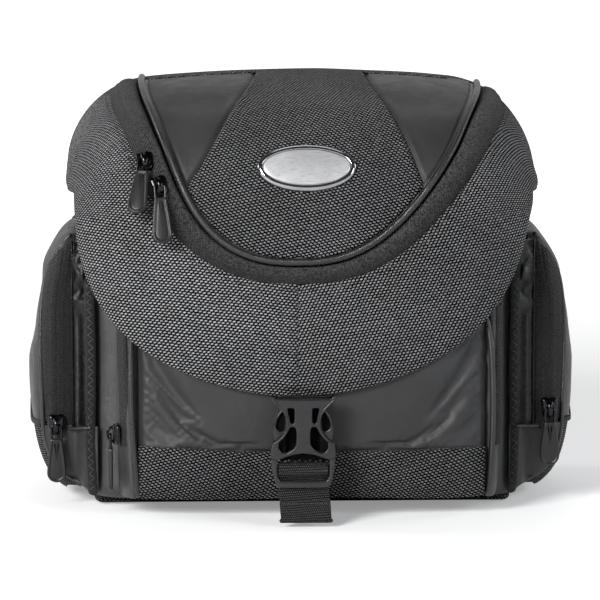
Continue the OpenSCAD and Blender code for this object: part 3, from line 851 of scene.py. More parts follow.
def skirt(arc):
    """Across distance of the lid's lower side edge."""
    drop = (section(arc)[1] - 177) / np.cos(drop_tilt(arc) * DEG)
    return np.interp(drop, lid_drop(DROP_ACROSS), DROP_ACROSS)


# The section height stands in for the drop: section() gives (y, z, slope).
def skirt(arc):
    """Across distance at which the lid's side reaches its lower edge, z = 177."""
    drop = (section(arc)[1] - 177) / np.cos(drop_tilt(arc) * DEG)
    return np.interp(drop, lid_drop(DROP_ACROSS), DROP_ACROSS)


SKIRT_TIP = float(skirt(np.array(SKIRT_ARC)))


def hatch_curve(side, angle, half, end):
    """Across and arc on the U-shaped line round the hatch; angle 90 is its front point."""
    angle = np.asarray(angle, float)
    arc = HATCH_START + (end - HATCH_START) * np.sin(angle * DEG)
    return lean(arc) + side * half * np.maximum(0, np.cos(angle * DEG)) ** 0.8, arc


def lid_edge(side, share):
    """Across and arc on the lid's outer edge, from the hatch hinge to the tip."""
    share = np.asarray(share, float)
    arc_side = HATCH_START + (SKIRT_ARC - HATCH_START) * share / 0.5
    turn = (share - 0.5) / 0.5 * 90 * DEG
    arc_tip = SKIRT_ARC + (LID_TIP - SKIRT_ARC) * np.sin(np.maximum(turn, 0))
    drift = -4.5 * ease((arc_tip - 195) / 50)
    across = np.where(share < 0.5, side * skirt(np.minimum(arc_side, SKIRT_ARC)),
                      drift + side * SKIRT_TIP * np.cos(turn))
    return across, np.where(share < 0.5, arc_side, arc_tip)


def hatch_seam(arc):
    """Half-width of the hatch's centre panel."""
    return 31 + 0.0017 * (arc - 60) ** 2


def hatch_half(arc):
    share = (arc - HATCH_START) / (HATCH_INNER_END - HATCH_START)
    return (HATCH_HALF - 2.4) * np.maximum(0, 1 - share ** 2) ** 0.4


# ---------------------------------------------------------------- lid
def lid_flap(side, word, mat):
    rows, cols = ((190, 76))
    share = column(0, 1, rows)
    out = row(0, 1, cols)
    out = out - 0.03 * np.sin(2 * math.pi * out)
    across_in, arc_in = hatch_curve(side, 90 * share, HATCH_HALF + 20, HATCH_END + 12)
    across_out, arc_out = lid_edge(side, share)
    across = across_in + (across_out - across_in) * out
    arc = arc_in + (arc_out - arc_in) * out
    across = across + np.where(share > 0.999, side * 0.12, 0)
    base = lid_at(across, arc)
    rim = edge_dist(base, "lr")
    seam = edge_dist(base, "b")
    height = 0.25 - 1.25 * (1 - ease(rim / 7.0)) ** 2
    height = height + ease(rim / 14.0) * (1.25 * cloth_noise(base, size=62, seed=3, octaves=2)
                                          + 0.40 * cloth_noise(base, size=21, seed=4, octaves=2))
    # the seam between the two flaps draws the surface in
    height = height - 0.9 * bell(seam, 1.6) - 0.55 * bell(seam, 9.0) + 0.35 * bell(seam - 5.5, 3.0)
    # shallow dents beside the hatch piping
    height = height - 1.3 * bell(across - side * 88, 16) * bell(arc - 236, 20)
    height = height - 0.9 * bell(across - side * 112, 15) * bell(arc - 172, 26)
    lid_sheet("lid_flap_" + word, across, arc, height, 3.4, [mat, LID_LINING], "lid",
              replaces=True, slot="ballistic")


def lid_rear():
    """Woven crown behind the hatch, wrapping down to the hinge."""
    arc = np.concatenate([np.linspace(0.3, CROWN_START, 22)[:-1],
                          np.linspace(CROWN_START, 63.6, 20)])[:, None]
    across = skirt(arc) * row(-1, 1, 90)
    base = lid_at(across, arc)
    rim = edge_dist(base, "lr")
    front = edge_dist(base, "b")
    puff = 0.9 * cloth_noise(base, size=55, seed=5, octaves=2)
    height = (0.1 - 1.2 * (1 - ease(rim / 7)) ** 2
              + ease(rim / 14) * ease(arc / 14) * puff * ease(front / 8 + 0.1)
              - 0.5 * bell(front, 2.0))
    lid_sheet("lid_rear", across, arc, height, 3.4, [HATCH, LID_LINING], "lid",
              replaces=True, slot="ballistic")


def round_hatch(count, first=0.0):
    """Side and angle of stations all the way round the hatch, left to right."""
    sweep = np.linspace(-1, 1, count)
    return sweep, np.where(sweep < 0, -1.0, 1.0), first + (90 - first) * (1 - np.abs(sweep))


def lid_zip_tape():
    """Raised twill band over the coil, between flap and piping, and its inner flange."""
    sweep, side, angle = (a[:, None] for a in round_hatch(260))

    def band(inner, outer, out):
        """Grid between two lines; each line is its offset from the hatch half and end."""
        across_in, arc_in = hatch_curve(side, angle, HATCH_HALF + inner[0], HATCH_END + inner[1])
        across_out, arc_out = hatch_curve(side, angle, HATCH_HALF + outer[0],
                                          HATCH_END + outer[1])
        return across_in + (across_out - across_in) * out, arc_in + (arc_out - arc_in) * out

    out = row(0, 1, 22)
    across, arc = band((2.3, 2.3), (19.9, 11.9), out)
    base = lid_at(across, arc)
    height = -1.9 + 3.6 * hump(out ** 0.8) ** 0.7
    height = height - 0.45 * bell(out - 0.60, 0.03)      # the closed coil line
    height = height + 0.5 * ease((np.abs(sweep) - 0.955) / 0.02) * hump(out)
    height = height + 0.22 * cloth_noise(base, size=18, seed=9, octaves=2)
    run = run_length(base[:, 11])[:, None]
    lid_sheet("lid_zip_tape", across, arc, height, 1.5, [LID_TWILL, POCKET_TWILL], "lid",
              uv=(0.8 * np.arange(22)[None, :], run), replaces=True, slot="zip_tape")
    out = row(0, 1, 8)
    across, arc = band((-2.5, -2.5), (5.5, 4.0), out)
    lid_sheet("lid_zip_flange", across, np.maximum(arc, HATCH_START + 1.5), -5.6 + 1.6 * out,
              0.8, [POCKET_TWILL, POCKET_TWILL], "lid", uv=(8 * out, run), slot="zip_tape")


def hatch_line(off_half, off_end, height, count, first=0.0):
    """Points and normals of a line round the hatch."""
    _, side, angle = round_hatch(count, first)
    across, arc = hatch_curve(side, angle, HATCH_HALF + off_half, HATCH_END + off_end)
    return lid_raised(across, arc, height), lid_normal(across, arc)


for side, word in SIDES:
    lid_flap(side, word, FLAP_LEFT if side < 0 else FLAP_RIGHT)
lid_rear()
lid_zip_tape()
stitches("flap_inner_stitch", *hatch_line(22.6, 14.6, height=0.2, count=260, first=3.0), "lid",
         pitch=2.7, length=2.0, radius=0.2, lift=0.0)


# ---------------------------------------------------------------- hatch
def hatch_panel():
    """Woven centre panel."""
    angle = column(0, 89.4, 150) * DEG
    arc = HATCH_START + 0.3 + (HATCH_INNER_END - 0.4 - HATCH_START) * np.sin(angle)
    across = (lean(arc)
              + np.minimum(hatch_seam(arc), hatch_half(arc)) * row(-1, 1, 96))
    base = lid_at(across, arc)
    rim = edge_dist(base, "lrb")
    hinge = edge_dist(base, "t")
    height = (0.5 - 1.6 * (1 - ease(rim / 3.2)) ** 2 + 0.45 * bell(rim - 2.6, 1.3)
              + ease(rim / 12) * ease(hinge / 8) * 0.55
              * cloth_noise(base, size=48, seed=11, octaves=2))
    lid_sheet("hatch_panel", across, arc, height, 3.4, [HATCH, LID_LINING], "hatch",
              replaces=True, slot="ballistic")


def shoulder_end():
    """Arc where the centre seam meets the hatch's edge."""
    low, high = 180.0, 225.0
    for _ in range(30):
        mid = (low + high) / 2
        if hatch_seam(mid) + 0.6 < hatch_half(mid):
            low = mid
        else:
            high = mid
    return low


def hatch_shoulder(side, word, end):
    """Smooth shoulder beside the centre panel, with stitches along the seam."""
    arc = column(HATCH_START + 0.3, end, 130)
    inner, outer = hatch_seam(arc) + 0.35, hatch_half(arc)
    across = lean(arc) + side * (inner + (outer - inner) * row(0, 1, 50))
    base = lid_at(across, arc)
    rim = edge_dist(base, "lr")
    hinge = edge_dist(base, "t")
    from_middle = (across - lean(arc)) * side
    # tension folds running towards the point
    folds = (0.8 * cloth_noise(base * (1.0, 0.45, 0.45), size=30, seed=13 + side)
             + 0.5 * np.sin((arc + 0.6 * from_middle) / 9.5) * bell(arc - 150, 40))
    height = (-0.5 - 1.3 * (1 - ease(rim / 3.5)) ** 2 + ease(rim / 9) * ease(hinge / 10) * folds
              - 1.3 * bell(arc - 138, 13) * ease(rim / 8))
    lid_sheet("hatch_side_" + word, across, arc, height, 3.2, [NYLON_HATCH, LID_LINING],
              "hatch", replaces=True, slot="nylon")
    arc = np.linspace(HATCH_START + 2, end - 2, 80)
    across = lean(arc) + side * (hatch_seam(arc) - 1.9)
    stitches("hatch_seam_stitch_" + word[0], lid_raised(across, arc, 0.05),
             lid_normal(across, arc), "hatch", pitch=2.8, length=2.0, radius=0.2, lift=0.0)


def hinge_strip(name, path, arcs, rows, lift, thickness, mats, half):
    """Thin fabric over a fold line, joining two bodies."""
    arc, across = np.broadcast_arrays(column(*arcs, rows), row(-half, half, 70))
    base = path(across, arc)
    normal = lid_normal(across, np.maximum(arc, 0.2))
    height = lift - 0.3 * (1 - ease(edge_dist(base) / 2.0))
    ob = sheet(name, base + normal * height[..., None], (across, arc), thickness, mats, None,
               outward=normal)
    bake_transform(ob)


def lid_and_back(across, arc):
    """Lid surface continued straight down below its back edge."""
    points = lid_at(across, np.maximum(arc, 0))
    points[..., 2] += np.minimum(arc, 0)
    return points


hatch_panel()
SHOULDER_END = shoulder_end()
for side, word in SIDES:
    hatch_shoulder(side, word, SHOULDER_END)
tube("hatch_piping", *hatch_line(-0.3, -0.3, height=0.95, count=240), circle(1.9, 16), PIPING,
     "hatch", replaces=True, slot="piping")
tube("hatch_piping_flange", *hatch_line(-2.2, -2.2, height=-1.1, count=240, first=1.0),
     [(-1.5, -0.5), (1.5, -0.5), (1.6, 0.1), (1.2, 0.35), (-1.3, 0.32), (-1.6, 0.0)],
     PIPING, "hatch", slot="piping")
hinge_strip("lid_hinge_fabric", lid_and_back, (-9, 11), 24, lift=0.55, thickness=0.9,
            mats=[BINDING, BINDING],
            half=92)
hinge_y, hinge_z, hinge_slope = [float(v) for v in section(np.array(HATCH_START))]
hinge_strip("hatch_hinge_fabric", lid_at, (HATCH_START - 6.5, HATCH_START + 6.5), 22,
            lift=0.35, thickness=0.6, mats=[HATCH, BINDING],
            half=84)

# ---------------------------------------------------------------- shell, liner, base
BODY_HALF_X, BODY_HALF_Y = 125, 62
WALL_TOP = 177.6
RING_POINTS = 320


def plan_ring(inset, count):
    """Body outline in plan, counter-clockwise, moved inwards by inset."""
    half_x, half_y = BODY_HALF_X - inset, BODY_HALF_Y - inset
    front_r, back_r = max(25.0 - inset, 3.0), max(5.0 - inset, 2.0)
    # corner centre, radius and first angle
    corners = [(half_x - front_r, -half_y + front_r, front_r, -90),
               (half_x - back_r, half_y - back_r, back_r, 0),
               (-half_x + back_r, half_y - back_r, back_r, 90),
               (-half_x + front_r, -half_y + front_r, front_r, 180)]
    points = []
    for x, y, radius, first in corners:
        for angle in np.linspace(first, first + 90, max(6, int(radius * 90 * DEG / 2.2))):
            points.append((x + radius * math.cos(angle * DEG),
                           y + radius * math.sin(angle * DEG)))
    return even_ring(points, count)


def wall_top(plan):
    """Height of the wall: raised in the middle of the front and of the back."""
    x, y = np.abs(plan[:, 0]), plan[:, 1]
    return WALL_TOP + np.where(y < 0, 18.2 * ease((93 - x) / 11) * ease((-y - 44) / 8),
                               27.2 * ease((91 - x) / 11) * ease((y - 44) / 8))


def tray_rings(outer, inner, bottom, floor, top, bottom_r, slack):
    """Rings of an open tray: up the outside, over the rolled top and down to the floor."""
    wall = plan_ring(outer, RING_POINTS)
    rings = []
    for angle in np.linspace(0, 90, 7):
        rings.append(np.c_[plan_ring(outer + bottom_r * (1 - math.sin(angle * DEG)), RING_POINTS),
                           np.full(RING_POINTS, bottom + bottom_r * (1 - math.cos(angle * DEG)))])
    for share in np.linspace(0, 1, 46)[1:]:
        rings.append(np.c_[wall, bottom + bottom_r + (top - 2.0 - bottom - bottom_r) * share])
    for angle in (30, 60, 90, 120, 150, 180):
        inset = outer + (inner - outer) * (1 - math.cos(angle * DEG)) / 2
        rings.append(np.c_[plan_ring(inset, RING_POINTS),
                           top - 2.0 + 2.0 * math.sin(angle * DEG)])
    wall = plan_ring(inner, RING_POINTS)
    for share in np.linspace(0, 1, 20)[1:]:
        rings.append(np.c_[wall, top - 2.0 + (floor + 1 - (top - 2.0)) * share])
    for inset in (1.0, 3.0):
        rings.append(np.c_[plan_ring(inner + inset, RING_POINTS), np.full(RING_POINTS, floor)])
    rings = np.array(rings)
    if slack:
        # only the outside, below the top, is uneven
        amp = slack * (cloth_noise(rings * (1, 1, 0.5), size=34, seed=21) - 0.6)
        amp = amp * ease((rings[..., 2] - bottom) / 16) * (np.arange(len(rings)) < 48)[:, None]
        x, y = rings[..., 0], rings[..., 1]
        out = grid(np.sign(x) * np.abs(x / 125) ** 8, np.sign(y) * np.abs(y / 62) ** 8, 0 * x)
        out = out / np.maximum(np.linalg.norm(out, axis=-1, keepdims=True), 1e-6)
        rings = rings + amp[..., None] * out
    return rings


def divider(side, word):
    """Soft padded wall with stitches across its inner face."""
    name = "divider_" + word
    low, high = (np.array(v) * 1000 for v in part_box(name))
    centre = (low + high) / 2
    half_x, half_y, half_z = (high - low) / 2
    angle = np.linspace(0, 2 * math.pi, 240, endpoint=False)
    cos, sin = np.cos(angle), np.sin(angle)
    rings = []
    for share in np.linspace(-1, 1, 40):
        inset = 3.2 * (1 - math.cos(share * math.pi / 2) ** 0.45)
        y = np.sign(cos) * np.abs(cos) ** 0.12 * (half_y - inset)
        z = np.sign(sin) * np.abs(sin) ** 0.12 * (half_z - inset)
        x = centre[0] + half_x * math.sin(share * math.pi / 2)
        rings.append(grid(x, centre[1] + y, centre[2] + z))
    loft(name, rings, [LINING], "bag", replaces=True, slot="lining")
    x = centre[0] - side * (half_x + 0.15)
    for down in (0, 118):
        z = high[2] - 4 - down
        stitches(f"{name}_stitch_{down}", resample([[x, low[1] + 5, z], [x, high[1] - 5, z]], 2),
                 [-side, 0, 0], "bag", pitch=3.2, length=2.4, radius=0.25)


def base_panel():
    # inset from the body outline, z
    steps = [(30, 0.05), (9.5, 0.05), (8.4, 0.6), (8.0, 1.6), (8.0, 2.6), (8.6, 3.6),
             (9.6, 3.95), (30, 3.95)]
    rings = []
    for inset, z in steps:
        plan = plan_ring(inset, 200)
        plan[:, 1] = np.maximum(plan[:, 1], -46.0 + max(0, (inset - 8)) * 0.6)
        rings.append(np.c_[plan, np.full(200, z)])
    loft("base_panel", rings, [GUARD], "bag", replaces=True, slot="ballistic")


loft("main_shell", tray_rings(outer=0.0, inner=4.0, bottom=4.3, floor=7.2,
                              top=wall_top(plan_ring(0.0, RING_POINTS)), bottom_r=9.0,
                              slack=0.9),
     [NYLON_BODY, LID_LINING], "bag", pick=lambda centre, i, j: 1 if i >= 55 else 0,
     replaces=True, slot="nylon")
loft("padded_liner", tray_rings(outer=4.3, inner=10.0, bottom=7.6, floor=12.3,
                                top=np.full(RING_POINTS, WALL_TOP - 4.0), bottom_r=3.0,
                                slack=0.0),
     [LINING], "bag", replaces=True, slot="lining")
tube("liner_edge_binding", closed(np.c_[plan_ring(7.1, 260), np.full(260, 174.2)]), UP,
     [(-3.3, -7), (-3.3, -1), (-2.2, 0.5), (0, 0.9), (2.2, 0.5), (3.3, -1), (3.3, -7),
      (2.9, -7), (2.7, -1.2), (0, -0.2), (-2.7, -1.2), (-2.9, -7)],
     BINDING, "bag", round_ends=False)
for side, word in SIDES:
    divider(side, word)
base_panel()


# ---------------------------------------------------------------- back panel, belt sleeve
def back_panel():
    """Padded air mesh panel with quilted grooves and a bound edge."""
    x = np.broadcast_to(123.4 * row(-1, 1, 120), (90, 120))
    across = np.linspace(-135, 135, 1200)
    top = LID_TOP - 1.4 - lid_drop(np.interp(x, lid_x(across) * 0.985, across))
    top = np.minimum(top, 213.2)
    bottom = 3.4 + 7 * np.clip((np.abs(x) - 112) / 11.4, 0, 1) ** 2
    z = bottom + (top - bottom) * column(0, 1, 90)
    flat = grid(x, 64.0, z)
    rim = edge_dist(flat)
    puff = 1.0 + 7.0 * (1 - (1 - ease(rim / 16)) ** 2)
    for groove in (-66, 66):
        puff = puff - 2.6 * bell(x - groove, 3.2) * ease(rim / 10)
    for groove in (56, 160):
        puff = puff - 2.6 * bell(z - groove, 3.2) * ease(rim / 10)
    puff = puff + 0.4 * cloth_noise(flat, size=40, seed=31, octaves=2) * ease(rim / 12)
    points = grid(x, 63.1 + np.minimum(puff, 8.4), z)
    sheet("back_panel", points, (x, z), 1.2, [AIR_MESH, LINING], "bag", BACK,
          replaces=True, slot="nylon")
    edge = np.concatenate([points[0, ::2], points[1::2, -1], points[-1, 118::-2],
                           points[88:0:-2, 0]])
    edge[:, 1] = 65.0
    tube("back_panel_binding", closed(edge), BACK,
         [(-1.9, -1.6), (-2.2, 0.0), (-1.9, 1.4), (0, 2.0), (1.9, 1.4), (2.2, 0.0),
          (1.9, -1.6)], BINDING, "bag", round_ends=False)


def sleeve_y(x):
    """The sleeve stands off the back panel between its sewn sides."""
    return 73.2 + 3.4 * ease((51.5 - np.abs(x)) / 8.5)


def belt_sleeve():
    x, z = row(-55, 55, 90), column(62.5, 153.5, 50)
    slack = cloth_noise(grid(x, 0, z), size=30, seed=33, octaves=2)
    y = sleeve_y(x) + 0.3 * slack * ease((48 - np.abs(x)) / 8)
    sheet("belt_sleeve", grid(x, y, z), (x, z), 1.3, [GUARD, LID_LINING], "bag", BACK,
          replaces=True, slot="webbing")
    for side, word in SIDES:
        for x, y in ((46.5, 74.9), (53, 73.9)):
            path = resample([[side * x, y, 65], [side * x, y, 151]], 2)
            stitches(f"belt_stitch_{word[0]}_{int(x)}", path, BACK, "bag", pitch=2.9,
                     length=2.1, radius=0.27, mat=THREAD)
    x = np.linspace(-54, 54, 60)
    for z in (63.4, 152.6):
        tube(f"belt_sleeve_edge_{int(z)}", grid(x, sleeve_y(x) - 0.2, z), BACK,
             [(-2.6, -1.2), (-2.8, 0.0), (-2.4, 0.9), (2.4, 0.9), (2.8, 0.0), (2.6, -1.2)],
             WEBBING, "bag")


back_panel()
belt_sleeve()

# ---------------------------------------------------------------- front pocket
FACE_LEFT, FACE_RIGHT = -91.8, 98.9      # the face's side seams
FACE_MID, FACE_HALF = (FACE_LEFT + FACE_RIGHT) / 2, (FACE_RIGHT - FACE_LEFT) / 2
# Plan of the pocket's sides, x, y: left from the back forwards, right from the front back.
POCKET_LEFT = [(-103.9, -62.4), (-104.2, -65.5), (-104.0, -71), (-102.6, -78), (-100.0, -84),
               (-97.2, -88.2), (-95.6, -89.3), (-94.2, -87.4), (-91.2, -85.5)]
POCKET_RIGHT = [(101.0, -85.5), (102.0, -87.6), (103.3, -89.4), (105.0, -88.0),
                (106.8, -83.2), (107.8, -76), (108.1, -70), (108.1, -65), (108.0, -62.4)]
# Piping beside the face, x, y, z, from the top down.
PIPING_LEFT = [(-96.0, -86.5, 122), (-95.2, -89.5, 112), (-95.6, -91.0, 96), (-95.9, -91.4, 74),
               (-95.3, -91.2, 50), (-93.8, -90.4, 32), (-92.8, -88.6, 18), (-92.4, -84, 11.5)]
PIPING_RIGHT = [(96.5, -85.0, 116), (99.2, -89.0, 110), (101.8, -91.0, 96), (102.8, -91.4, 74),
                (103.0, -91.2, 50), (102.4, -90.4, 32), (101.6, -88.6, 18), (101.2, -84, 12)]


def pocket_depth(z):
    """Share of the pocket's full depth at a height."""
    return dome((np.asarray(z, float) - 88) / 80, 6)


def pocket_body():
    front = [(x, -85.5) for x in np.linspace(-83, 93, 16)]
    back = [(x, -62.3) for x in np.linspace(101, -97, 16)]
    plan = np.array(POCKET_LEFT + front + POCKET_RIGHT + back, float)
    rings = []
    for z in [9.2, 9.6, 10.4, 11.6, 13.4, 16, *np.linspace(20, 150, 40),
              154, 158, 161, 163.5, 165.5, 166.6]:
        depth = float(pocket_depth(z))
        ring = np.c_[2.0 + (plan[:, 0] - 2.0) * (0.955 + 0.045 * depth),
                     -62.3 + (plan[:, 1] + 62.3) * (0.35 + 0.65 * depth)]
        rings.append(np.c_[even_ring(ring, 150), np.full(150, z)])
    rings = np.array(rings)
    slack = (0.8 * cloth_noise(rings * (1, 1, 0.45), size=22, seed=41)
             * ease((-62.8 - rings[..., 1]) / 6))
    x = rings[..., 0]
    rings[..., 0] = x + np.sign(x) * (slack - 0.4) * ease((np.abs(x - 2) - 94) / 5)
    loft("front_pocket_body", rings, [NYLON_BODY], "bag", replaces="front_pocket",
         slot="nylon")


def face_y(place, z):
    """Depth of the face; place runs -1..1 between its side seams."""
    bulge = 6.6 * np.maximum(0, 1 - np.abs(place) ** 12) ** 0.5 + 2.9 * (1 - place ** 2)
    return -62.2 - pocket_depth(z) * (26.5 + bulge)


def cloth_face(cols, rows):
    """Face panel as a slightly oversize cloth held at its sewn edges."""
    place, z = row(-1, 1, cols), column(36.0, 158.0, rows)
    flat = grid(FACE_MID + FACE_HALF * place, face_y(place, z), z)
    scale = MM * 5
    mesh = bpy.data.meshes.new("cloth_tmp")
    faces = [(i * cols + j, i * cols + j + 1, (i + 1) * cols + j + 1, (i + 1) * cols + j)
             for i in range(rows - 1) for j in range(cols - 1)]
    mesh.from_pydata([tuple(v * scale) for v in flat.reshape(-1, 3)], [], faces)
    ob = bpy.data.objects.new("cloth_tmp", mesh)
    scene = bpy.context.scene
    scene.collection.objects.link(ob)
    pins = ob.vertex_groups.new(name="pin")
    for i in range(rows):
        for j in range(cols):
            if min(i, rows - 1 - i, j, cols - 1 - j) < 2:
                pins.add([i * cols + j], 1.0, "REPLACE")
    cloth = ob.modifiers.new("Cloth", "CLOTH")
    settings = dict(
        quality=6, mass=0.25, vertex_group_mass="pin", tension_stiffness=25,
        compression_stiffness=25, shear_stiffness=8, bending_stiffness=0.35,
        shrink_min=-0.022, shrink_max=-0.022, air_damping=2.0, use_pressure=True,
        uniform_pressure_force=0.6)
    for key, value in settings.items():
        setattr(cloth.settings, key, value)
    cloth.settings.effector_weights.gravity = 0.35
    cloth.collision_settings.use_collision = False
    cloth.point_cache.frame_start = 1
    cloth.point_cache.frame_end = 26
    for number in range(1, 27):
        scene.frame_set(number)
    evaluated = ob.evaluated_get(bpy.context.evaluated_depsgraph_get())
    result = evaluated.to_mesh()
    coords = np.zeros(len(result.vertices) * 3)
    result.vertices.foreach_get("co", coords)
    evaluated.to_mesh_clear()
    scene.frame_set(1)
    bpy.data.objects.remove(ob, do_unlink=True)
    bpy.data.meshes.remove(mesh)
    move = coords.reshape(rows, cols, 3) / scale - flat
    length = np.linalg.norm(move, axis=2, keepdims=True)
    return flat + move * np.minimum(1, 3.4 / np.maximum(length, 1e-6))


def refine(table, count):
    """Smooth cubic resampling of the first axis."""
    size = table.shape[0]
    places = np.linspace(0, size - 1, count)
    i = np.clip(np.floor(places).astype(int), 0, size - 2)
    part = (places - i).reshape([-1] + [1] * (table.ndim - 1))
    before, here = table[np.maximum(i - 1, 0)], table[i]
    after, beyond = table[i + 1], table[np.minimum(i + 2, size - 1)]
    return 0.5 * (2 * here + (after - before) * part
                  + (2 * before - 5 * here + 4 * after - beyond) * part ** 2
                  + (3 * here - before - 3 * after + beyond) * part ** 3)


def pocket_face():
    points = cloth_face(76, 52)
    points = np.swapaxes(refine(np.swapaxes(refine(points, 130), 0, 1), 190), 0, 1)
    x, z = points[..., 0].copy(), points[..., 2].copy()
    # creases running in from the right seam: height, depth, width
    creases = [(113, 1.6, 4.0), (99, 1.2, 3.0), (88, 2.3, 3.4), (76, 1.1, 3.0),
               (64, 1.8, 4.2), (52, 1.0, 3.0), (42, 0.8, 3)]
    inside = FACE_RIGHT - x
    for height, depth, width in creases:
        points[..., 1] += (depth * np.exp(-(inside / (5 + 2.2 * depth)))
                           * bell(z - height - 0.22 * inside, width + 0.05 * inside))
    # slanting dents low on either side
    points[..., 1] += 1.5 * bell((x + 70) + 0.4 * (z - 52), 13) * bell(z - 55, 16)
    points[..., 1] += 1.0 * bell((x - 76) - 0.7 * (z - 66), 9) * bell(z - 64, 16)
    sheet("front_pocket_face", points, (x, z), 1.6, [NYLON, NYLON], "bag", FRONT, slot="nylon")


def band_top(place):
    return 37.2 + 2.6 * ease((-0.3 - place) / 0.7) + 1.4 * ease((place - 0.5) / 0.5)


def front_band():
    """Woven band along the pocket's foot, turned under at the bottom."""
    place, down = row(-1, 1, 200), column(0, 1, 60)
    foot = 8.8 + 0.55 * np.sin((place + 0.3) * 4.1) + 0.6 * ease((place - 0.7) / 0.3)
    top = band_top(place)
    turn = np.clip((down - 0.82) / 0.18, 0, 1) * math.pi / 2
    z = top + (foot + 2.5 - top) * np.clip(down / 0.82, 0, 1) - 2.5 * np.sin(turn)
    under = face_y(place, foot + 2.5) - 0.9 + 12.0 * (1 - np.cos(turn))
    y = np.where(down > 0.82, under, face_y(place, np.maximum(z, 9.5)) - 0.9)
    x = FACE_MID + (FACE_HALF + 0.4) * place
    points = grid(x, y, z)
    slack = (0.7 * cloth_noise(points, size=44, seed=51, octaves=2)
             * ease(edge_dist(points, "lr") / 10) * ease(down / 0.15))
    points[..., 1] -= slack + 0.54 * ease((place + 0.25) / 0.5) * bell(down - 0.55, 0.3)
    sheet("front_band", points, (x, z), 1.8, [BAND, NYLON_BODY], "bag", FRONT, replaces=True,
          slot="ballistic")
    place = np.linspace(-0.985, 0.985, 120)
    top = band_top(place)
    stitches("front_band_stitch",
             np.c_[FACE_MID + FACE_HALF * place, face_y(place, top) - 1.15, top + 0.9],
             FRONT, "bag", pitch=2.9, length=2.2, radius=0.2, lift=-0.1)


def front_zip(side, word):
    """Tape round the corner beside the face, with two rows of stitches."""
    z = column(39, 126 if side < 0 else 116, 60)
    out = row(0, 1, 12)
    if side < 0:
        drift = 2.2 * (1 - ease((z - 40) / 60))
        x_in, x_out, y_out = -98.4 + drift, -103.4 + drift * 0.6, -76.0
    else:
        x_in, x_out, y_out = 105.0, 108.4, -75.5
    x = x_in + (x_out - x_in) * out + side * 1.3 * hump(out) ** 0.7
    y = -87.6 + (y_out + 87.6) * out - 0.8 * hump(out)
    points = grid(x, y, z)
    sheet("front_zip_tape_" + word, points, (out * 12, z), 1.1, [POCKET_TWILL, POCKET_TWILL],
          "bag", FRONT, replaces="front_zip_tape" if side < 0 else None, slot="zip_tape")
    normal = facing_normals(points, FRONT)
    for col in (2, 9):
        stitches(f"front_zip_stitch_{word}_{col}", points[2:-2, col], normal[2:-2, col], "bag",
                 pitch=2.6, length=1.9, radius=0.2, lift=0.05)


pocket_body()
pocket_face()
front_band()
tube("front_piping_left", smooth_path(by_index(PIPING_LEFT)), [-0.5, -1, 0], circle(1.65, 12),
     PIPING, "bag", slot="piping", replaces="front_piping")
tube("front_piping_right", smooth_path(by_index(PIPING_RIGHT)), [0.4, -1, 0],
     circle(1.65, 12), PIPING, "bag", slot="piping")
for side, word in SIDES:
    front_zip(side, word)

# ---------------------------------------------------------------- side pockets
WALL_X = 125.3            # where a pocket meets the body's side
POCKET_Y, POCKET_Z = -4, 77      # centre of a pocket's side face
LIFT, LIFT_TOP = 7.5, 46.0       # how far the front foot is raised, and up to what height
# Outer edge of the lower gusset: z, distance from the middle plane.
LOWER_RIM_Z = [6, 10, 13, 16.3, 20.7, 27, 34, 43, 46]
LOWER_RIM_X = [114, 119, 126.6, 132.2, 136.8, 140.9, 143.4, 144.6, 144.4]
# Outer edge of the zip tape: z, distance from the middle plane.
TAPE_RIM_Z = [42, 56, 74, 98, 118, 131, 142, 148]
TAPE_RIM_X = [142.2, 144.0, 145.6, 145.8, 145.0, 142.6, 136.8, 131.0]
# Front rim: distance from the middle plane, z; the second part follows the raised foot.
RIM_UPPER = [(129.6, 150.8), (137.6, 142), (143.4, 131), (145.6, 119), (146.6, 98),
             (146.4, 74), (145.2, 56)]
RIM_LOWER = [(145.4, 43), (144.0, 34), (141.4, 27), (137.3, 20.7), (132.6, 16.3), (127, 13.0)]


def pocket_width(z):
    place = (np.asarray(z, float) - POCKET_Z) / 76
    return 26 * dome(place, np.where(place < 0, 2.4, 2.0)) + 1.5


def pocket_at(side, angle, z):
    """Point of the outline in plan; angle -90 is its front, 90 its back."""
    angle, z = np.broadcast_arrays(np.asarray(angle, float), np.asarray(z, float))
    cos, sin = np.cos(angle * DEG), np.sin(angle * DEG)
    half_y = 48 * dome((z - POCKET_Z) / 76, 8)
    return np.stack([side * (WALL_X + np.maximum(0, cos) ** 0.5 * pocket_width(z)),
                     POCKET_Y + np.sign(sin) * np.abs(sin) ** 0.5 * half_y, z], -1)


def pocket_front(side, dist, z):
    """Point on the front-facing side at a distance from the middle plane."""
    dist, z = np.broadcast_arrays(np.asarray(dist, float), np.asarray(z, float))
    cos = np.clip((dist - WALL_X) / pocket_width(z), 0, 0.97) ** 2
    points = pocket_at(side, -np.degrees(np.arccos(cos)), z)
    points[..., 0] = side * dist
    return points


def unlift(z):
    """Height before the front foot was raised."""
    z = np.asarray(z, float)
    return np.where(z < LIFT_TOP, np.clip((z - LIFT) / (1 - LIFT / LIFT_TOP), 1.5, LIFT_TOP), z)


def guard_top(y):
    return 50 + 5 * np.sin(y / 20.0)


def side_share(points):
    """1 on the outward-facing panel, 0 near the body."""
    return ease((np.abs(points[..., 0]) - 138) / 8)


def side_puff(points):
    return np.cos(np.clip((points[..., 1] - POCKET_Y) / 46, -1, 1) * math.pi / 2)


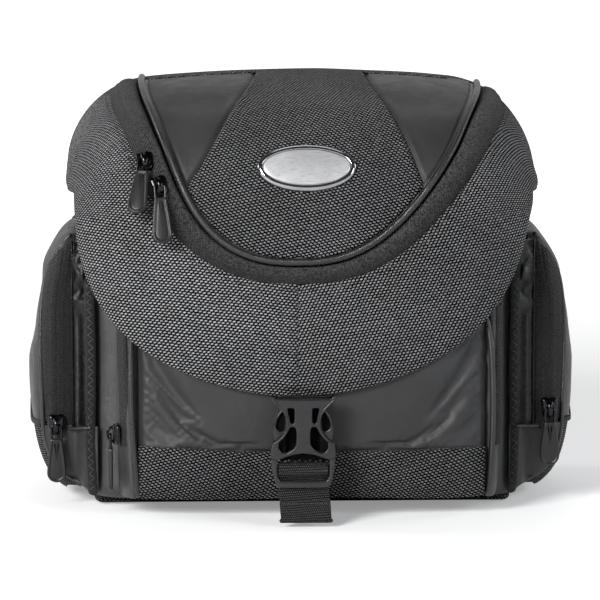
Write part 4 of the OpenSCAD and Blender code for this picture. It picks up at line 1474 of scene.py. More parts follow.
def side_pocket_body(side, word):
    rows, cols = ((110, 150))
    z = POCKET_Z - 74.6 * np.cos(column(0, math.pi, rows))
    # angles spaced evenly round the outline
    angles = np.linspace(-90, 90, 1200)
    run = run_length(pocket_at(1, angles, 77.0)[..., :2])
    points = pocket_at(side, np.interp(row(0, run[-1], cols), run, angles), z)
    out = points - np.array([side * 118, POCKET_Y, POCKET_Z])
    out[..., 2] = 0
    out /= np.maximum(np.linalg.norm(out, axis=-1, keepdims=True), 1e-6)
    dist = np.abs(points[..., 0])
    face = side_share(points)
    amp = (1.1 * cloth_noise(points * (1, 1, 0.6), size=38, seed=61 + side)
           * ease((dist - 127) / 6) - 0.5)
    amp = amp + face * 1.2 * side_puff(points)
    sunk = ease((z - 76) / 22) * (1 - ease((z - 118) / 16))
    amp = amp - (3.0 if side < 0 else 1.8) * face * sunk
    points = points + out * np.where(dist < 126, 0, amp)[..., None]
    rings = []
    for i in range(rows):
        y = np.linspace(points[i, -1, 1], points[i, 0, 1], 12)[1:-1]
        rings.append(np.concatenate([points[i], grid(side * 125.35, y, z[i])]))
    rings = np.array(rings)
    rings[..., 2] += (LIFT * ease((-6 - rings[..., 1]) / 40)
                      * np.clip(1 - rings[..., 2] / LIFT_TOP, 0, 1))

    def guard_below(centre, i, j):
        low = abs(centre[0]) > 126 and centre[2] < guard_top(centre[1]) and j < cols - 1
        return 1 if low else 0

    loft("side_pocket_" + word, rings, [NYLON_SIDE, GUARD], "bag", pick=guard_below,
         replaces=True, slot="nylon")


def side_seams(side, word):
    """Tape along the top of the woven guard, and the piped front rim."""
    angle = np.linspace(-56, 80, 90)
    path = pocket_at(side, angle, guard_top(pocket_at(side, angle, 50.0)[..., 1]))
    hint = path - np.array([side * 118, POCKET_Y, 0])
    hint[:, 2] = 0
    rise = 0.6 + 1.1 * side_puff(path) * side_share(path)
    path = path + hint / np.linalg.norm(hint, axis=1, keepdims=True) * rise[:, None]
    tube("side_guard_seam_" + word, path, hint,
         [(-1.5, -0.6), (1.5, -0.6), (1.2, 0.35), (-1.2, 0.35)], BINDING, "bag", slot="nylon")
    rim = [pocket_front(side, x, z) for x, z in RIM_UPPER]
    for x, z in RIM_LOWER:
        rim.append(np.array([*pocket_front(side, x, unlift(z))[:2], z]))
    rim.append(np.array([side * 118, -53.2, 9.6]))
    rim = smooth_path(by_index(np.array(rim), 120), 60)
    rim[:, 1] -= 0.5
    tube("side_rim_" + word, rim, [side * 0.45, -1, 0], circle(1.25, 10), PIPING, "bag",
         slot="piping")


def coil_x(z):
    return 137.2 - 4.5 * ease((z - 108) / 40)


def side_zip(side, word):
    """Twill tape with a sunk closing line and a row of coil stitches on either side."""
    z, out = column(42.5, 148, 120), row(0, 1, 34)
    dist = 128.0 + (np.interp(z, TAPE_RIM_Z, TAPE_RIM_X) - 128.0) * out
    from_coil = dist - coil_x(z)
    points = pocket_front(side, dist, z)
    points[..., 1] -= (0.25 + 0.9 * hump(np.clip(out, 0.02, 0.98)) ** 0.5
                       - 0.55 * bell(from_coil, 0.55) + 0.5 * bell(from_coil, 3.6, power=4))
    points[..., 1] += 0.35 * cloth_noise(points, size=26, seed=66 + side, octaves=2)
    sheet("side_zip_tape_" + word, points, (from_coil + 40, z), 1.0,
          [POCKET_TWILL, POCKET_TWILL], "bag", FRONT, replaces="side_zip_" + word,
          slot="zip_tape")
    z = np.linspace(45, 145, 160)
    for shift, end in ((-3.0, "in"), (3.0, "out")):
        path = pocket_front(side, coil_x(z) + shift, z)
        path[:, 1] -= 1.25
        stitches(f"side_zip_stitch_{word}_{end}", path, FRONT, "bag", pitch=1.75, length=1.3,
                 radius=0.27, mat=COIL, lift=0.1)


def side_gusset(side, word):
    """Slack fold of shiny nylon, gathered at the top."""
    z, out = column(44.5, 149, 130), row(0, 1, 40)
    inner = 120.6 if side < 0 else 119.6
    dist = inner + (128.9 - inner) * out
    y = -59.4 + 5.2 * out ** 1.4
    sag = (2.6 * hump(out) ** 1.2 * (1 - 0.75 * ease((z - 112) / 20))
           - 1.6 * bell(out - 0.94, 0.06))
    gather = ease((z - 104) / 16) * hump(out) ** 0.7
    slope = 9.0 if side < 0 else 6.3
    folds = (np.sin((z - slope * out) / 3.9 + 0.8 * np.sin(z / 11.0))
             + 0.6 * np.sin((z + 6.0 * out) / 2.3 + 1.3))
    slack = cloth_noise(grid(side * dist, y, z) * (1, 1, 0.4), size=16, seed=71 + side,
                        octaves=2)
    y = y + sag - 1.9 * gather * (folds + 1) + 0.5 * slack * hump(out)
    sheet("side_gusset_" + word, grid(side * dist, y, z), (dist, z), 1.0,
          [NYLON_GUSSET, NYLON_GUSSET], "bag", FRONT, replaces=True, slot="nylon")


def side_gusset_lower(side, word):
    """Smooth part of the gusset under the zip."""
    out = row(0, 1, 70)
    top = 45.6 - 1.2 * out
    z = top + (9.0 - top) * column(0, 1, 60)
    dist = 114.9 + (np.interp(z, LOWER_RIM_Z, LOWER_RIM_X) - 114.9) * out
    pocket_y = pocket_front(1, np.maximum(dist, 126.2), unlift(z))[..., 1] - 0.9
    share = ease((dist - 121) / 7)
    y = (-61.4 + 0.42 * (dist - 114.9)) * (1 - share) + pocket_y * share
    y = y + 3.2 * ease((14 - z) / 8)
    y = y + 0.45 * cloth_noise(grid(dist, 0, z), size=20, seed=77 + side, octaves=2)
    sheet("side_gusset_lower_" + word, grid(side * dist, y, z), (dist, z), 1.2,
          [NYLON, NYLON], "bag", FRONT, slot="nylon")


def zigzag_thread(name, path, side):
    """Thread along a zigzag, one short rod per leg."""
    verts, faces = [], []
    for start, end in zip(path[:-1], path[1:]):
        along = (end - start) / np.linalg.norm(end - start)
        normal = np.array([side * 0.3, -1, 0])
        normal = normal - along * normal.dot(along)
        normal /= np.linalg.norm(normal)
        across = np.cross(along, normal)
        base = len(verts)
        # share of the leg, thickness, rise
        for share, scale, rise in ((0, 0.6, 0), (0.25, 1, 0.12), (0.75, 1, 0.12), (1, 0.6, 0)):
            point = start * (1 - share) + end * share
            for x, y in circle(1.0, 6):
                verts.append(point + (across * x + normal * y) * 0.22 * scale + normal * rise)
        for ring in range(3):
            for j in range(6):
                a, b = base + ring * 6 + j, base + ring * 6 + (j + 1) % 6
                faces.append((a, b, b + 6, a + 6))
        faces.append([base + j for j in range(6)][::-1])
        faces.append([base + 18 + j for j in range(6)])
    add_object(name, verts, faces, [THREAD_DARK], "bag", weld=1e-7)


def side_binding(side, word):
    """Bound seam to the body with its zigzag, and the short seam over the lower gusset."""
    z = np.linspace(8.5, 149, 110)
    dist = ((118.4 if side < 0 else 117.3) + 0.35 * np.sin(z / 17.0)
            - 0.9 * ease((40 - z) / 30))
    path = np.c_[side * dist, -60.6 + 0.5 * np.sin(z / 23.0) + 3.0 * ease((13 - z) / 5), z]
    tube("side_binding_" + word, path, [side * 0.30, -1, 0],
         [(-2.7, -0.9), (-2.9, -0.2), (-2.5, 0.55), (-1.0, 0.75), (1.0, 0.75), (2.5, 0.55),
          (2.9, -0.2), (2.7, -0.9)], BINDING, "bag", slot="nylon")
    turns = np.arange(10, 148, 2.3)
    swing = np.where(np.arange(len(turns)) % 2, 1.5, -1.5)
    zigzag = interp_rows(turns, z, path)
    zigzag[:, 0] += swing
    zigzag[:, 1] -= 1.0 - 0.25 * swing * side
    zigzag_thread("side_zigzag_" + word, zigzag, side)
    seam = [(side * 119.0, -61.2, 45.2), (side * 123, -59.6, 44.9),
            (side * 127.5, -57.2, 44.4), (side * 131.0, -55.2, 44.0)]
    tube("side_gusset_seam_" + word, resample(seam, 1.0), [0, -1, 0.3],
         [(-0.9, -0.7), (0.9, -0.7), (0.7, 0.35), (-0.7, 0.35)], PIPING, "bag", slot="nylon")


for side, word in SIDES:
    for build in (side_pocket_body, side_seams, side_zip, side_gusset, side_gusset_lower,
                  side_binding):
        build(side, word)


# ---------------------------------------------------------------- D-ring tabs
def ring_tab(side, word):
    """Webbing folded over the D-ring and sewn down with a crossed box."""
    ring_y, ring_z = 57.0, 147.0
    points = [(125.95, 96.5), (125.95, 108), (125.95, 122), (125.95, 136), (126.0, 143)]
    for angle in np.linspace(200, -20, 12):
        points.append((128.4 + 2.35 * math.cos(angle * DEG),
                       ring_z + 2.35 * math.sin(angle * DEG)))
    profile = [(-7.3, -0.5), (-7.5, 0), (-7.3, 0.5), (7.3, 0.5), (7.5, 0), (7.3, -0.5)]
    tube("ring_tab_" + word, resample([(side * x, ring_y, z) for x, z in points], 1.2),
         [side, 0.001, 0.9], profile, WEBBING, "bag", replaces=True, slot="webbing",
         round_ends=False)
    tube("ring_tab_fold_" + word, [(side * 127.0, ring_y, z) for z in np.linspace(96.2, 122, 20)],
         [side, 0, 0], profile, WEBBING, "bag", slot="webbing")
    half, low, high = 5.5, 99, 119
    for y0, z0, y1, z1 in ((-half, low, half, low), (-half, high, half, high),
                           (-half, low, -half, high), (half, low, half, high),
                           (-half, low, half, high), (-half, high, half, low)):
        path = resample([(side * 127.6, ring_y + y0, z0), (side * 127.6, ring_y + y1, z1)], 1.0)
        tag = f"{int(y0 * 10 + 100)}_{int(y1 * 10 + 100)}_{z0}_{z1}"
        stitches(f"ring_tab_stitch_{word}_{tag}", path, [side, 0, 0], "bag", pitch=2.4,
                 length=1.9, radius=0.22, mat=THREAD)


for side, word in SIDES:
    ring_tab(side, word)

# ---------------------------------------------------------------- badge
BADGE_ARC = 190.6
# Half-width, half-height and rise of each ellipse.
BEZEL = [(26.6, 13.3, -0.6), (27.0, 13.7, 0.2), (27.0, 13.7, 1.2), (26.7, 13.35, 2.0),
         (26.1, 12.7, 2.6), (25.3, 11.9, 2.95), (24.6, 11.2, 3.0), (24.1, 10.7, 2.8),
         (23.95, 10.5, 2.4), (23.9, 10.45, 0.4), (23.9, 10.45, -0.6)]
PLATE = [(23.8, 10.35, 0.2), (23.8, 10.35, 2.0), (23.5, 10.1, 2.5), (22.9, 9.6, 2.65)]
PLATE += [(22.9 * f, 9.6 * f, 2.65 + 0.6 * (1 - f ** 2))
          for f in (0.92, 0.8, 0.65, 0.5, 0.35, 0.2, 0.08)]


def badge_ring(half_x, half_y, rise):
    """An ellipse bent to follow the lid and placed on it."""
    angle = np.linspace(0, 2 * math.pi, 121)[:-1]
    x, y = half_x * np.cos(angle), half_y * np.sin(angle)
    tilt = rot_x(-float(section(np.array(BADGE_ARC))[2]) * DEG)
    return lid_at(0.4, BADGE_ARC) + grid(x, y, rise - y ** 2 / (2 * 120.0)) @ tilt.T


loft("badge_bezel", closed(np.array([badge_ring(*size) for size in BEZEL])), [CHROME], "hatch",
     replaces=True, slot="bezel_metal", caps=False)
loft("badge_plate", [badge_ring(*size) for size in PLATE], [BRUSHED], "hatch", replaces=True,
     slot="plate_metal")


# ---------------------------------------------------------------- zip sliders and pulls
def outline(points, count=72):
    return smooth_ring(even_ring(points, count), 3)


def inset(ring, distance):
    """Moves a closed outline inwards."""
    after = np.roll(ring, -1, 0)
    tangent = after - np.roll(ring, 1, 0)
    tangent /= np.linalg.norm(tangent, axis=1, keepdims=True)
    area = 0.5 * np.sum(ring[:, 0] * after[:, 1] - after[:, 0] * ring[:, 1])
    return (ring + np.stack([-tangent[:, 1], tangent[:, 0]], -1) * distance
            * (1 if area > 0 else -1))


class Parts:
    """Collects several closed shapes into one object."""
    def __init__(self):
        self.verts, self.faces = [], []

    def rings(self, rings):
        base = len(self.verts)
        count, size = rings.shape[:2]
        self.verts += list(rings.reshape(-1, 3))
        for i in range(count - 1):
            for j in range(size):
                a, b = base + i * size + j, base + i * size + (j + 1) % size
                self.faces.append((a, b, b + size, a + size))
        for i, reverse in ((0, True), (count - 1, False)):
            hub = len(self.verts)
            self.verts.append(rings[i].mean(axis=0))
            for j in range(size):
                a, b = base + i * size + j, base + i * size + (j + 1) % size
                self.faces.append((hub, b, a) if reverse else (hub, a, b))

    def plate(self, ring, steps):
        """Stacks an outline at (inset, z) steps."""
        self.rings(np.array([np.c_[inset(ring, d), np.full(len(ring), z)] for d, z in steps]))

    def sweep(self, path, hint, profile, scale):
        _, normal, across = frames(path, hint)
        profile = np.asarray(profile)
        self.rings(np.array([path[i] + across[i] * profile[:, :1] * scale[i]
                             + normal[i] * profile[:, 1:] * scale[i]
                             for i in range(len(path))]))

    def make(self, name, mat, body, turn, origin, **told):
        add_object(name, np.array(self.verts) @ turn.T + origin, self.faces, [mat], body,
                   sharp=40, **told)


def slider():
    parts = Parts()
    base = outline([(-4.5, 1.0), (-4.7, 4.6), (-3.2, 5.9), (-0.9, 5.6), (0, 5.0), (0.9, 5.6),
                    (3.2, 5.9), (4.7, 4.6), (4.5, 1.0), (3.9, -3.6), (2.9, -5.7),
                    (-2.9, -5.7), (-3.9, -3.6)])
    parts.plate(base, [(0.3, 0.5), (0, 0.75), (0, 1.5), (0.25, 1.85)])
    parts.plate(inset(base, 1.9), [(0, 1.7), (0, 2.8)])
    parts.plate(base, [(0.7, 2.5), (0.35, 2.7), (0.35, 3.1), (0.7, 3.5), (1.4, 3.75),
                       (2.4, 3.9)])
    # the bridge that holds the pull
    angle = np.linspace(0, math.pi, 22)
    bridge = grid(0 * angle, 3.9 * np.cos(angle), 3.3 + 3.5 * np.sin(angle) ** 0.8)
    parts.sweep(bridge, [1, 0, 0], np.array(circle(1.0, 14)) * (0.75, 1.35),
                scale=1 + 0.25 * np.abs(np.cos(angle)) ** 4)
    return parts


def pull_wire():
    half = [(2.0, -10.2), (2.5, -8.6), (2.75, -6.0), (2.8, -2.0), (2.7, -0.7), (2.1, 0.0)]
    points = [(-x, y, 5.1) for x, y in half] + [(0, 0.15, 5.1)]
    points += [(x, y, 5.1) for x, y in half[::-1]]
    path = smooth_path(resample(points, 0.5), 4)
    parts = Parts()
    parts.sweep(path, UP, circle(0.72, 10), scale=np.ones(len(path)))
    return parts


def pull_tab(length):
    end = -8 - length
    points = [(-3.4, -7.9), (-3.6, -10.0), (-4.5, -17), (-5.35, end + 6.5)]
    points += [(5.4 * math.cos(a), end + 5.4 + 5.4 * math.sin(a))
               for a in np.linspace(math.pi * 1.02, math.pi * 1.98, 16)]
    points += [(5.35, end + 6.5), (4.5, -17), (3.6, -10.0), (3.4, -7.9), (2.6, -7.2),
               (-2.6, -7.2)]
    parts = Parts()
    parts.plate(outline(points, 96),
                [(0.9, 3.95), (0.35, 4.05), (0, 4.4), (0, 5.55), (0.2, 6.0), (0.6, 6.28),
                 (1.0, 6.3), (1.35, 6.12), (1.6, 5.85), (1.95, 5.78), (2.3, 5.86),
                 (2.9, 5.95)])
    return parts


def zipper(slider_name, pull_name, slider_body, pull_body, slider_turn, pull_turn, origin, tab):
    slider().make(slider_name, ENAMEL, slider_body, slider_turn, origin, replaces=True,
                  slot="slider_metal")
    pull_wire().make(pull_name + "_wire", ENAMEL, pull_body, pull_turn, origin,
                     slot="slider_metal")
    pull_tab(tab).make(pull_name, RUBBER, pull_body, pull_turn, origin, replaces=True,
                       slot="pull_rubber")


def lid_zipper(word, tag, across, arc, roll, slider_spin, pull_spin):
    """Angles in degrees: roll about the lid's length, spins about its normal."""
    tilt = rot_x(-float(section(np.array(arc))[2]) * DEG) @ rot_y(roll * DEG)
    zipper("lid_slider_" + word, "lid_pull_" + word, "slider_" + tag, "pull_" + tag,
           tilt @ rot_z(slider_spin * DEG), tilt @ rot_z(pull_spin * DEG),
           lid_at(across, arc), tab=25)


def pocket_zipper(slider_name, pull_name, turn, origin):
    zipper(slider_name, pull_name, slider_name, pull_name, turn, turn, np.array(origin), tab=24)


def coat_ring(node):
    """The D-rings keep the frame's own mesh."""
    ob = bpy.data.objects[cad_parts[node].name]
    if len(ob.material_slots) == 0:
        ob.data.materials.append(RING_METAL)
    for material_slot in ob.material_slots:
        material_slot.material = RING_METAL


lid_zipper("upper", "up", across=-87, arc=185, roll=-9, slider_spin=12, pull_spin=-8)
lid_zipper("lower", "low", across=-79.5, arc=200, roll=0, slider_spin=21, pull_spin=3)
UPRIGHT = rot_x(math.pi / 2)
pocket_zipper("side_slider_left", "side_pull_left", UPRIGHT, [-137.6, -53.2, 46.0])
pocket_zipper("side_slider_right", "side_pull_right", UPRIGHT, [137.6, -53.2, 54.0])
pocket_zipper("front_slider", "front_pull", rot_z(-math.pi / 2) @ UPRIGHT, [-102.1, -80, 45.0])
coat_ring("ring_left")
coat_ring("ring_right")

# ---------------------------------------------------------------- buckle
BUCKLE_X = -2.4
CROWN = 0.7              # how far the socket bulges forwards
CROWN_HALF = 17.4
# Outlines of the buckle's right half: x from its middle, z.
SOCKET = [(0, 70.4), (10, 70.5), (14.9, 70.6), (15.7, 71.4), (16.5, 72.3), (17.2, 71.9),
          (17.0, 69.9), (14.2, 67.2), (11.5, 64.4), (9.7, 60.9), (9.2, 57.4), (9.7, 53.7),
          (11.5, 50.3), (14.3, 47.6), (16.5, 46.4), (17.3, 45.0), (17.6, 41.0), (17.6, 38.0),
          (14.0, 37.2), (10.4, 38.6), (5.6, 40.2), (0, 41.0)]
WINDOW_UPPER = [(4.9, 65.7), (8.7, 65.8), (8.1, 62.8), (7.3, 59.4), (6.9, 57.1), (5.2, 57.3),
                (4.8, 59.6)]
WINDOW_LOWER = [(4.2, 55.1), (7.0, 55.6), (8.5, 52.3), (10.8, 49.0), (13.4, 46.7),
                (13.3, 43.4), (11.6, 41.3), (9.0, 41.3), (5.6, 43.2), (3.8, 46.0), (3.7, 51.0)]
SOCKET_HEAD = [(0, 70.2), (14.4, 70.2), (13.4, 67.4), (11.6, 66.2), (0, 66.2)]
SOCKET_KEEL = [(0, 66.6), (3.3, 66.6), (3.1, 55.2), (0, 55.2)]
ARM = [(9.9, 66.2), (11.9, 64.6), (14.4, 61.4), (15.8, 57.2), (16.5, 52.5), (16.0, 48.7),
       (15.2, 46.9), (13.6, 46.6), (11.6, 49.0), (9.6, 52.6), (8.9, 57), (9.0, 64)]
ARM_HOLE = [(10.9, 63.4), (12.2, 61.9), (14.1, 59.0), (14.8, 55.9), (14.3, 53.6),
            (11.8, 52.3), (10.0, 53.4), (9.5, 57.6), (9.7, 61.0)]
# outline of a dark sheet of painted shade that fills the arm's hole
ARM_HOLE_SHADE = [(9.4, 64.6), (11.9, 63.6), (14.1, 60.4), (15.2, 56.6), (15.3, 53.0), (13.4, 51.2),
           (10.4, 52.0), (9.3, 57)]
ARM_LEG = [(9.2, 53), (13.9, 48.4), (13.4, 44), (12.2, 36.2), (9.4, 36.2), (9.2, 44)]
PLUG_OUTER = [(17.5, 38.3), (17.5, 36.5), (16.9, 32.2), (15.9, 27.0), (14.5, 23.0),
              (13.1, 21.9), (6, 21.6), (0, 21.6)]
PLUG_INNER = [(0, 25.5), (12.6, 25.7), (14.0, 28.6), (14.1, 34.0), (14.1, 38.3)]
PLUG_ROOT = [(0, 42.2), (2.6, 42.2), (12.6, 41.8), (15.4, 40.8), (15.6, 36.4), (0, 36.4)]
PLUG_TONGUE = [(0, 54.2), (1.7, 54.2), (2.2, 51.0), (2.3, 41.6), (0, 41.6)]


def on_side(half, side):
    return [(side * x, z) for x, z in half]


def both(half):
    return half + [(-x, z) for x, z in half[::-1] if x > 0.01]


def crown_at(x):
    return CROWN * (1 - (x / CROWN_HALF) ** 2)


def slab(name, loops, y_front, y_back, bevel, mat, body, crowned=False, smooth=3, **told):
    """Moulded plate with rounded rims; the first loop is the outline, the rest windows."""
    curve = bpy.data.curves.new(name + "_c", "CURVE")
    curve.dimensions = "2D"
    curve.fill_mode = "BOTH"
    for loop in loops:
        loop = np.array(loop, float)
        count = max(24, int(run_length(closed(loop))[-1] / 0.5))
        spline = curve.splines.new("POLY")
        spline.points.add(count - 1)
        spline.use_cyclic_u = True
        for i, (x, z) in enumerate(smooth_ring(even_ring(loop, count), smooth)):
            spline.points[i].co = (x, z, 0, 1)
    curve.extrude = abs(y_back - y_front) / 2 - bevel
    curve.bevel_depth = bevel
    curve.bevel_resolution = 3
    curve.offset = -bevel
    ob = bpy.data.objects.new(name + "_c", curve)
    bpy.context.scene.collection.objects.link(ob)
    depsgraph = bpy.context.evaluated_depsgraph_get()
    mesh = bpy.data.meshes.new_from_object(ob.evaluated_get(depsgraph))
    bm = bmesh.new()
    bm.from_mesh(mesh)
    bmesh.ops.remove_doubles(bm, verts=bm.verts, dist=1e-3)
    if crowned:
        for x in np.arange(-16, 16.1, 2.0):
            bmesh.ops.bisect_plane(bm, geom=list(bm.verts) + list(bm.edges) + list(bm.faces),
                                   plane_co=(x, 0, 0), plane_no=(1, 0, 0), dist=1e-4)
    bm.verts.ensure_lookup_table()
    bm.verts.index_update()
    x, z, depth = np.array([tuple(v.co) for v in bm.verts]).T
    faces = [[v.index for v in face.verts] for face in bm.faces]
    bm.free()
    bpy.data.objects.remove(ob)
    bpy.data.curves.remove(curve)
    bpy.data.meshes.remove(mesh)
    y = (y_front + y_back) / 2 + depth - (crown_at(x) if crowned else 0)
    return add_object(name, grid(BUCKLE_X + x, y, z), faces, [mat], body, sharp=38, **told)


def buckle_socket():
    windows = [on_side(w, side) for w in (WINDOW_UPPER, WINDOW_LOWER) for side in (-1, 1)]
    slab("buckle_socket", [both(SOCKET)] + windows, -121.3, -119.1, 0.75, ACETAL, "lid",
         crowned=True, replaces=True)
    # the back plate is near black: painted shade behind the socket's windows
    back = [(x if z > 47 else min(x, 16.2), z if z > 40 else max(z, 41.2)) for x, z in SOCKET]
    slab("buckle_socket_back", [both(back)], -114.2, -113.2, 0.4, BUCKLE_SHADE, "lid")
    slab("buckle_socket_head", [both(SOCKET_HEAD)], -119.6, -114.6, 0.4, ACETAL, "lid")
    slab("buckle_socket_keel", [both(SOCKET_KEEL)], -119.6, -114.6, 0.4, ACETAL, "lid")


def buckle_side(side, word):
    """Raised rim along the socket's waist, and the plug's arm."""
    x, z = by_index(on_side(SOCKET[6:15], side), 60).T
    rim = np.c_[BUCKLE_X + x - side * 0.75, -121.25 - crown_at(x), z]
    tube("buckle_waist_rim_" + word, smooth_path(rim, 6), FRONT, circle(0.62, 12), ACETAL,
         "lid")
    body = "arm_" + word
    slab("buckle_arm_" + word, [on_side(ARM, side), on_side(ARM_HOLE, side)], -118.9, -115.3,
         0.8, ACETAL, body, smooth=4, replaces=True)
    # a near-black sheet in the arm's hole and a near-black lower leg: painted shade inside the
    # socket, where there is no real sheet
    slab("buckle_arm_hole_shade_" + word, [on_side(ARM_HOLE_SHADE, side)], -116.6, -115.5, 0.3, BUCKLE_SHADE, body)
    slab("buckle_arm_leg_" + word, [on_side(ARM_LEG, side)], -117.6, -115.5, 0.4, BUCKLE_SHADE, body)


def buckle_plug():
    frame_loop = both(PLUG_OUTER) + on_side(PLUG_INNER[1:], -1)[::-1] + PLUG_INNER
    slab("buckle_plug", [frame_loop], -121.3, -115.0, 1.1, ACETAL, "buckle", smooth=2,
         replaces=True)
    # near-black root and tongue: painted shade where the plug sits in the socket
    slab("buckle_plug_root", [both(PLUG_ROOT)], -115.9, -114.8, 0.3, BUCKLE_SHADE, "buckle")
    slab("buckle_plug_tongue", [both(PLUG_TONGUE)], -118.0, -115.6, 0.5, BUCKLE_SHADE, "buckle")
    bar = [(BUCKLE_X + x, -116.9, 31.4) for x in np.linspace(-14.8, 14.8, 12)]
    tube("buckle_web_bar", bar, FRONT, circle(1.7, 18), ACETAL, "buckle", round_ends=False)


buckle_socket()
for side, word in SIDES:
    buckle_side(side, word)
buckle_plug()


# ---------------------------------------------------------------- buckle straps
def strap(name, stations, width, thickness, body, step=1.0, **told):
    """Webbing through stations: x from the buckle's middle, y, z, then the face direction."""
    stations = np.array(stations, float)
    half, thick = width / 2, thickness / 2
    profile = [(-half, -thick + 0.15), (-half - 0.2, 0), (-half, thick - 0.15),
               (-half + 0.5, thick)]
    profile += [(x, thick) for x in np.linspace(-half + 2, half - 2, 7)]
    profile += [(half - 0.5, thick), (half, thick - 0.15), (half + 0.2, 0),
                (half, -thick + 0.15), (half - 0.5, -thick), (-half + 0.5, -thick)]
    path, hint = resample(stations[:, :3] + (BUCKLE_X, 0, 0), step, stations[:, 3:])
    return tube(name, smooth_path(path, 2), hint, profile, WEBBING, body, slot="webbing",
                round_ends=False, **told)


# from under the lid's tip through the socket's slot
strap("socket_loop", [
    (0, -102.2, 93, 0, -1, 0), (0, -102.3, 80, 0, -1, 0), (0, -102.8, 72, 0, -1, 0),
    (0, -104.5, 68.2, 0, -0.7, -0.7), (0, -108, 66.9, 0, 0, -1), (0, -114, 66.8, 0, 0, -1),
    (0, -118.6, 66.8, 0, 0, -1)], 26.6, 1.4, "lid", replaces=True)
# up behind the plug, over its bar, back behind the lower bar and down to the hem
tail_parts = [
    strap("strap_tail", [
        (0, -113.7, 19, 0, 1, 0), (0, -113.5, 24, 0, 1, 0), (0, -113.4, 30.0, 0, 1, 0.1),
        (0, -114.2, 33.2, 0, 0.7, 0.7), (0, -116.4, 34.9, 0, 0, 1),
        (0, -118.6, 34.5, 0, -0.6, 0.8), (0, -120.0, 33.0, 0, -1, 0.2),
        (0.1, -120.4, 31.0, 0, -1, 0), (0.1, -119.8, 29.1, 0, -1, -0.2),
        (0.2, -118.0, 27.5, 0, -1, -0.3), (0.3, -117.2, 25, 0, -1, 0),
        (0.5, -117.4, 20, 0, -1, 0), (1.0, -118.4, 13, 0, -1, 0),
        (1.6, -119.3, 4.6, 0, -1, 0)], 26.6, 1.5, "buckle", step=0.5, replaces=True),
    strap("strap_tail_hem", [
        (1.6, -120.4, 3.7, 0, -1, 0), (1.55, -120.55, 5.5, 0, -1, 0),
        (1.2, -120.0, 10, 0, -1, 0), (0.9, -119.6, 14.6, 0, -1, 0)], 27.2, 1.5, "buckle"),
    stitches("strap_hem_stitch",
             resample([(BUCKLE_X - 11.6, -120.55, 13.2), (BUCKLE_X + 13.4, -120.55, 13.2)], 1),
             FRONT, "buckle", pitch=2.5, length=1.9, radius=0.22),
    tube("strap_tail_fold",
         [(BUCKLE_X + 1.6 + x, -119.9, 3.6) for x in np.linspace(-13.4, 13.4, 20)], FRONT,
         circle(1.25, 14), WEBBING, "buckle")]
for ob in tail_parts:
    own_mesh(ob)
anchor_strap = strap("strap_anchor", [
    (0, -90, 12.6, 0, -0.1, 1), (0, -96, 12.2, 0, -0.1, 1), (0, -100, 12.6, 0, -0.3, 1),
    (0, -104.5, 14.8, 0, -0.5, 0.9), (0, -108.8, 17.6, 0, -0.6, 0.8),
    (0, -111.2, 20.6, 0, -0.9, 0.4), (0, -112.0, 24, 0, -1, 0)], 26.2, 1.3, "bag",
    replaces=True)
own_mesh(anchor_strap)

# low lips on the side walls close the view between wall and lid skirt
LIP = [(-50, 171), (-45, 176), (-40, 178), (0, 178.2), (52, 178.2), (57, 176), (61, 171)]
for side, word in SIDES:
    path = resample([(side * 123.3, y, z) for y, z in LIP], 1.5)
    tube("shell_lip_" + word, smooth_path(path, 5), UP,
         [(-1.0, -4), (-1.0, 4.4), (-0.5, 5.0), (0.5, 5.0), (1.0, 4.4), (1.0, -4)],
         NYLON_BODY, "bag", slot="nylon", round_ends=False)


# ---------------------------------------------------------------- stage (metres)
def floor_material(name, tone):
    """Pale floor that glows to the camera, more so away from the bag."""
    mt = Material(name)
    value = mt.vary(mt.noise(mt.pos(), scale=3.0), tone * 0.995, tone)

    def axis(i):
        return mt.xyz(mt.pos())[i]

    radius = (axis(0) * axis(0) + axis(1) * axis(1)).sqrt()
    camera_ray = Value(mt, mt.node("ShaderNodeLightPath").outputs["Is Camera Ray"])
    return mt.surface(color=mt.vec(value, value, value), rough=0.55, spec=0.2,
                      glow=camera_ray * mt.ramp(radius, start=0.5, end=1.6, low=0.27, high=1.0),
                      glow_col=mt.vec(1.0, 1.0, 1.0))


def add_floor():
    cols, rows = 13, 5
    verts = [(x, y, -0.0004) for y in np.linspace(-6, 6, rows) for x in np.linspace(-6, 6, cols)]
    faces = [(i * cols + j, i * cols + j + 1, (i + 1) * cols + j + 1, (i + 1) * cols + j)
             for i in range(rows - 1) for j in range(cols - 1)]
    mesh = bpy.data.meshes.new("floor")
    mesh.from_pydata(verts, [], faces)
    mesh.materials.append(floor_material("floor_pale", 0.96))
    for face in mesh.polygons:
        face.use_smooth = True
    ob = bpy.data.objects.new("floor", mesh)
    bpy.context.scene.collection.objects.link(ob)


def add_camera(azimuth, elevation, distance, aim):
    camera = bpy.data.cameras.new("camera")
    camera.lens = 231.6
    camera.sensor_width = 36
    camera.clip_end = 50
    ob = bpy.data.objects.new("camera", camera)
    scene.collection.objects.link(ob)
    azimuth, elevation = math.radians(azimuth), math.radians(elevation)
    away = Vector((math.sin(azimuth) * math.cos(elevation),
                   -math.cos(azimuth) * math.cos(elevation), math.sin(elevation)))
    ob.location = Vector(aim) + away * distance
    ob.rotation_euler = (-away).to_track_quat("-Z", "Y").to_euler()
    scene.camera = ob


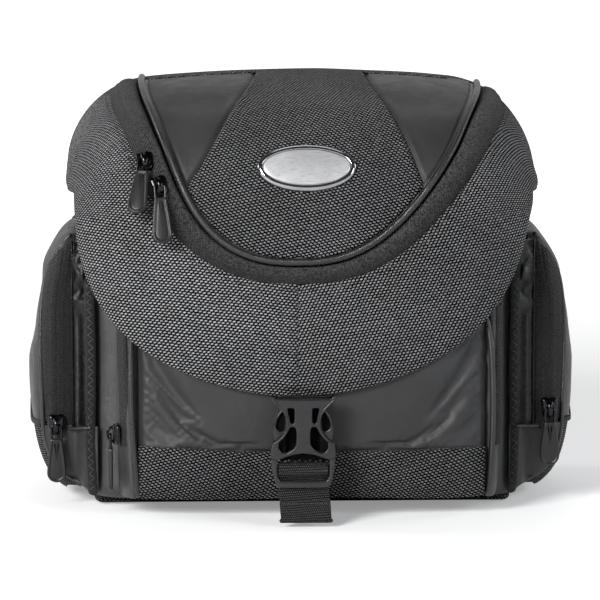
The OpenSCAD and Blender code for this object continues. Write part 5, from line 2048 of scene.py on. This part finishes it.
def area(name, place, width, height, power, color=(1, 1, 1)):
    """Rectangular light aimed at the middle of the bag."""
    light = bpy.data.lights.new(name, "AREA")
    light.energy = power
    light.size = width
    light.shape = "RECTANGLE"
    light.size_y = height
    light.color = color
    ob = bpy.data.objects.new(name, light)
    scene.collection.objects.link(ob)
    ob.location = place
    way = Vector((0, 0, 0.12)) - Vector(place)
    ob.rotation_euler = way.to_track_quat("-Z", "Y").to_euler()


def add_world():
    """Soft grey surroundings for lighting, plain white for the camera."""
    world = bpy.data.worlds.new("studio")
    scene.world = world
    world.use_nodes = True
    kit = Nodes(world.node_tree)
    out = kit.node("ShaderNodeOutputWorld")
    soft = kit.node("ShaderNodeBackground")
    plain = kit.node("ShaderNodeBackground")
    mix = kit.node("ShaderNodeMixShader")
    light_path = kit.node("ShaderNodeLightPath")
    _, y, z = kit.xyz(Value(kit, kit.node("ShaderNodeTexCoord").outputs["Generated"]))
    tone = kit.ramp(z, start=0.15, end=0.95, low=0.85, high=0.35)
    tone = tone * kit.ramp(y, start=0.15, end=0.85, low=1.0, high=5.5)
    kit.fill(soft, Color=kit.grey(tone, blue=1.02), Strength=0.13)
    kit.fill(plain, Color=(1, 1, 1, 1), Strength=1.05)
    for output, socket in ((light_path.outputs["Is Camera Ray"], mix.inputs[0]),
                           (soft.outputs[0], mix.inputs[1]), (plain.outputs[0], mix.inputs[2]),
                           (mix.outputs[0], out.inputs["Surface"])):
        kit.tree.links.new(output, socket)


scene = bpy.context.scene
add_floor()
add_camera(azimuth=-2, elevation=8, distance=2.2, aim=(0, 0, 0.10778))
area("key_left", (-1.35, -2.0, 1.25), width=0.8, height=1.0, power=76)
area("key_right", (1.75, -1.5, 0.95), width=0.7, height=1.1, power=16, color=(0.90, 0.95, 1.0))
area("top_soft", (0.1, 0.6, 2.2), width=1.2, height=0.8, power=5)
area("rim_left", (-1.9, 0.5, 0.8), width=0.7, height=0.7, power=14)
area("rim_right", (1.9, 0.5, 0.8), width=0.7, height=0.7, power=10)
add_world()
scene.view_settings.view_transform = "Standard"
scene.view_settings.look = "None"
scene.view_settings.exposure = 0.0
scene.view_settings.gamma = 1.0
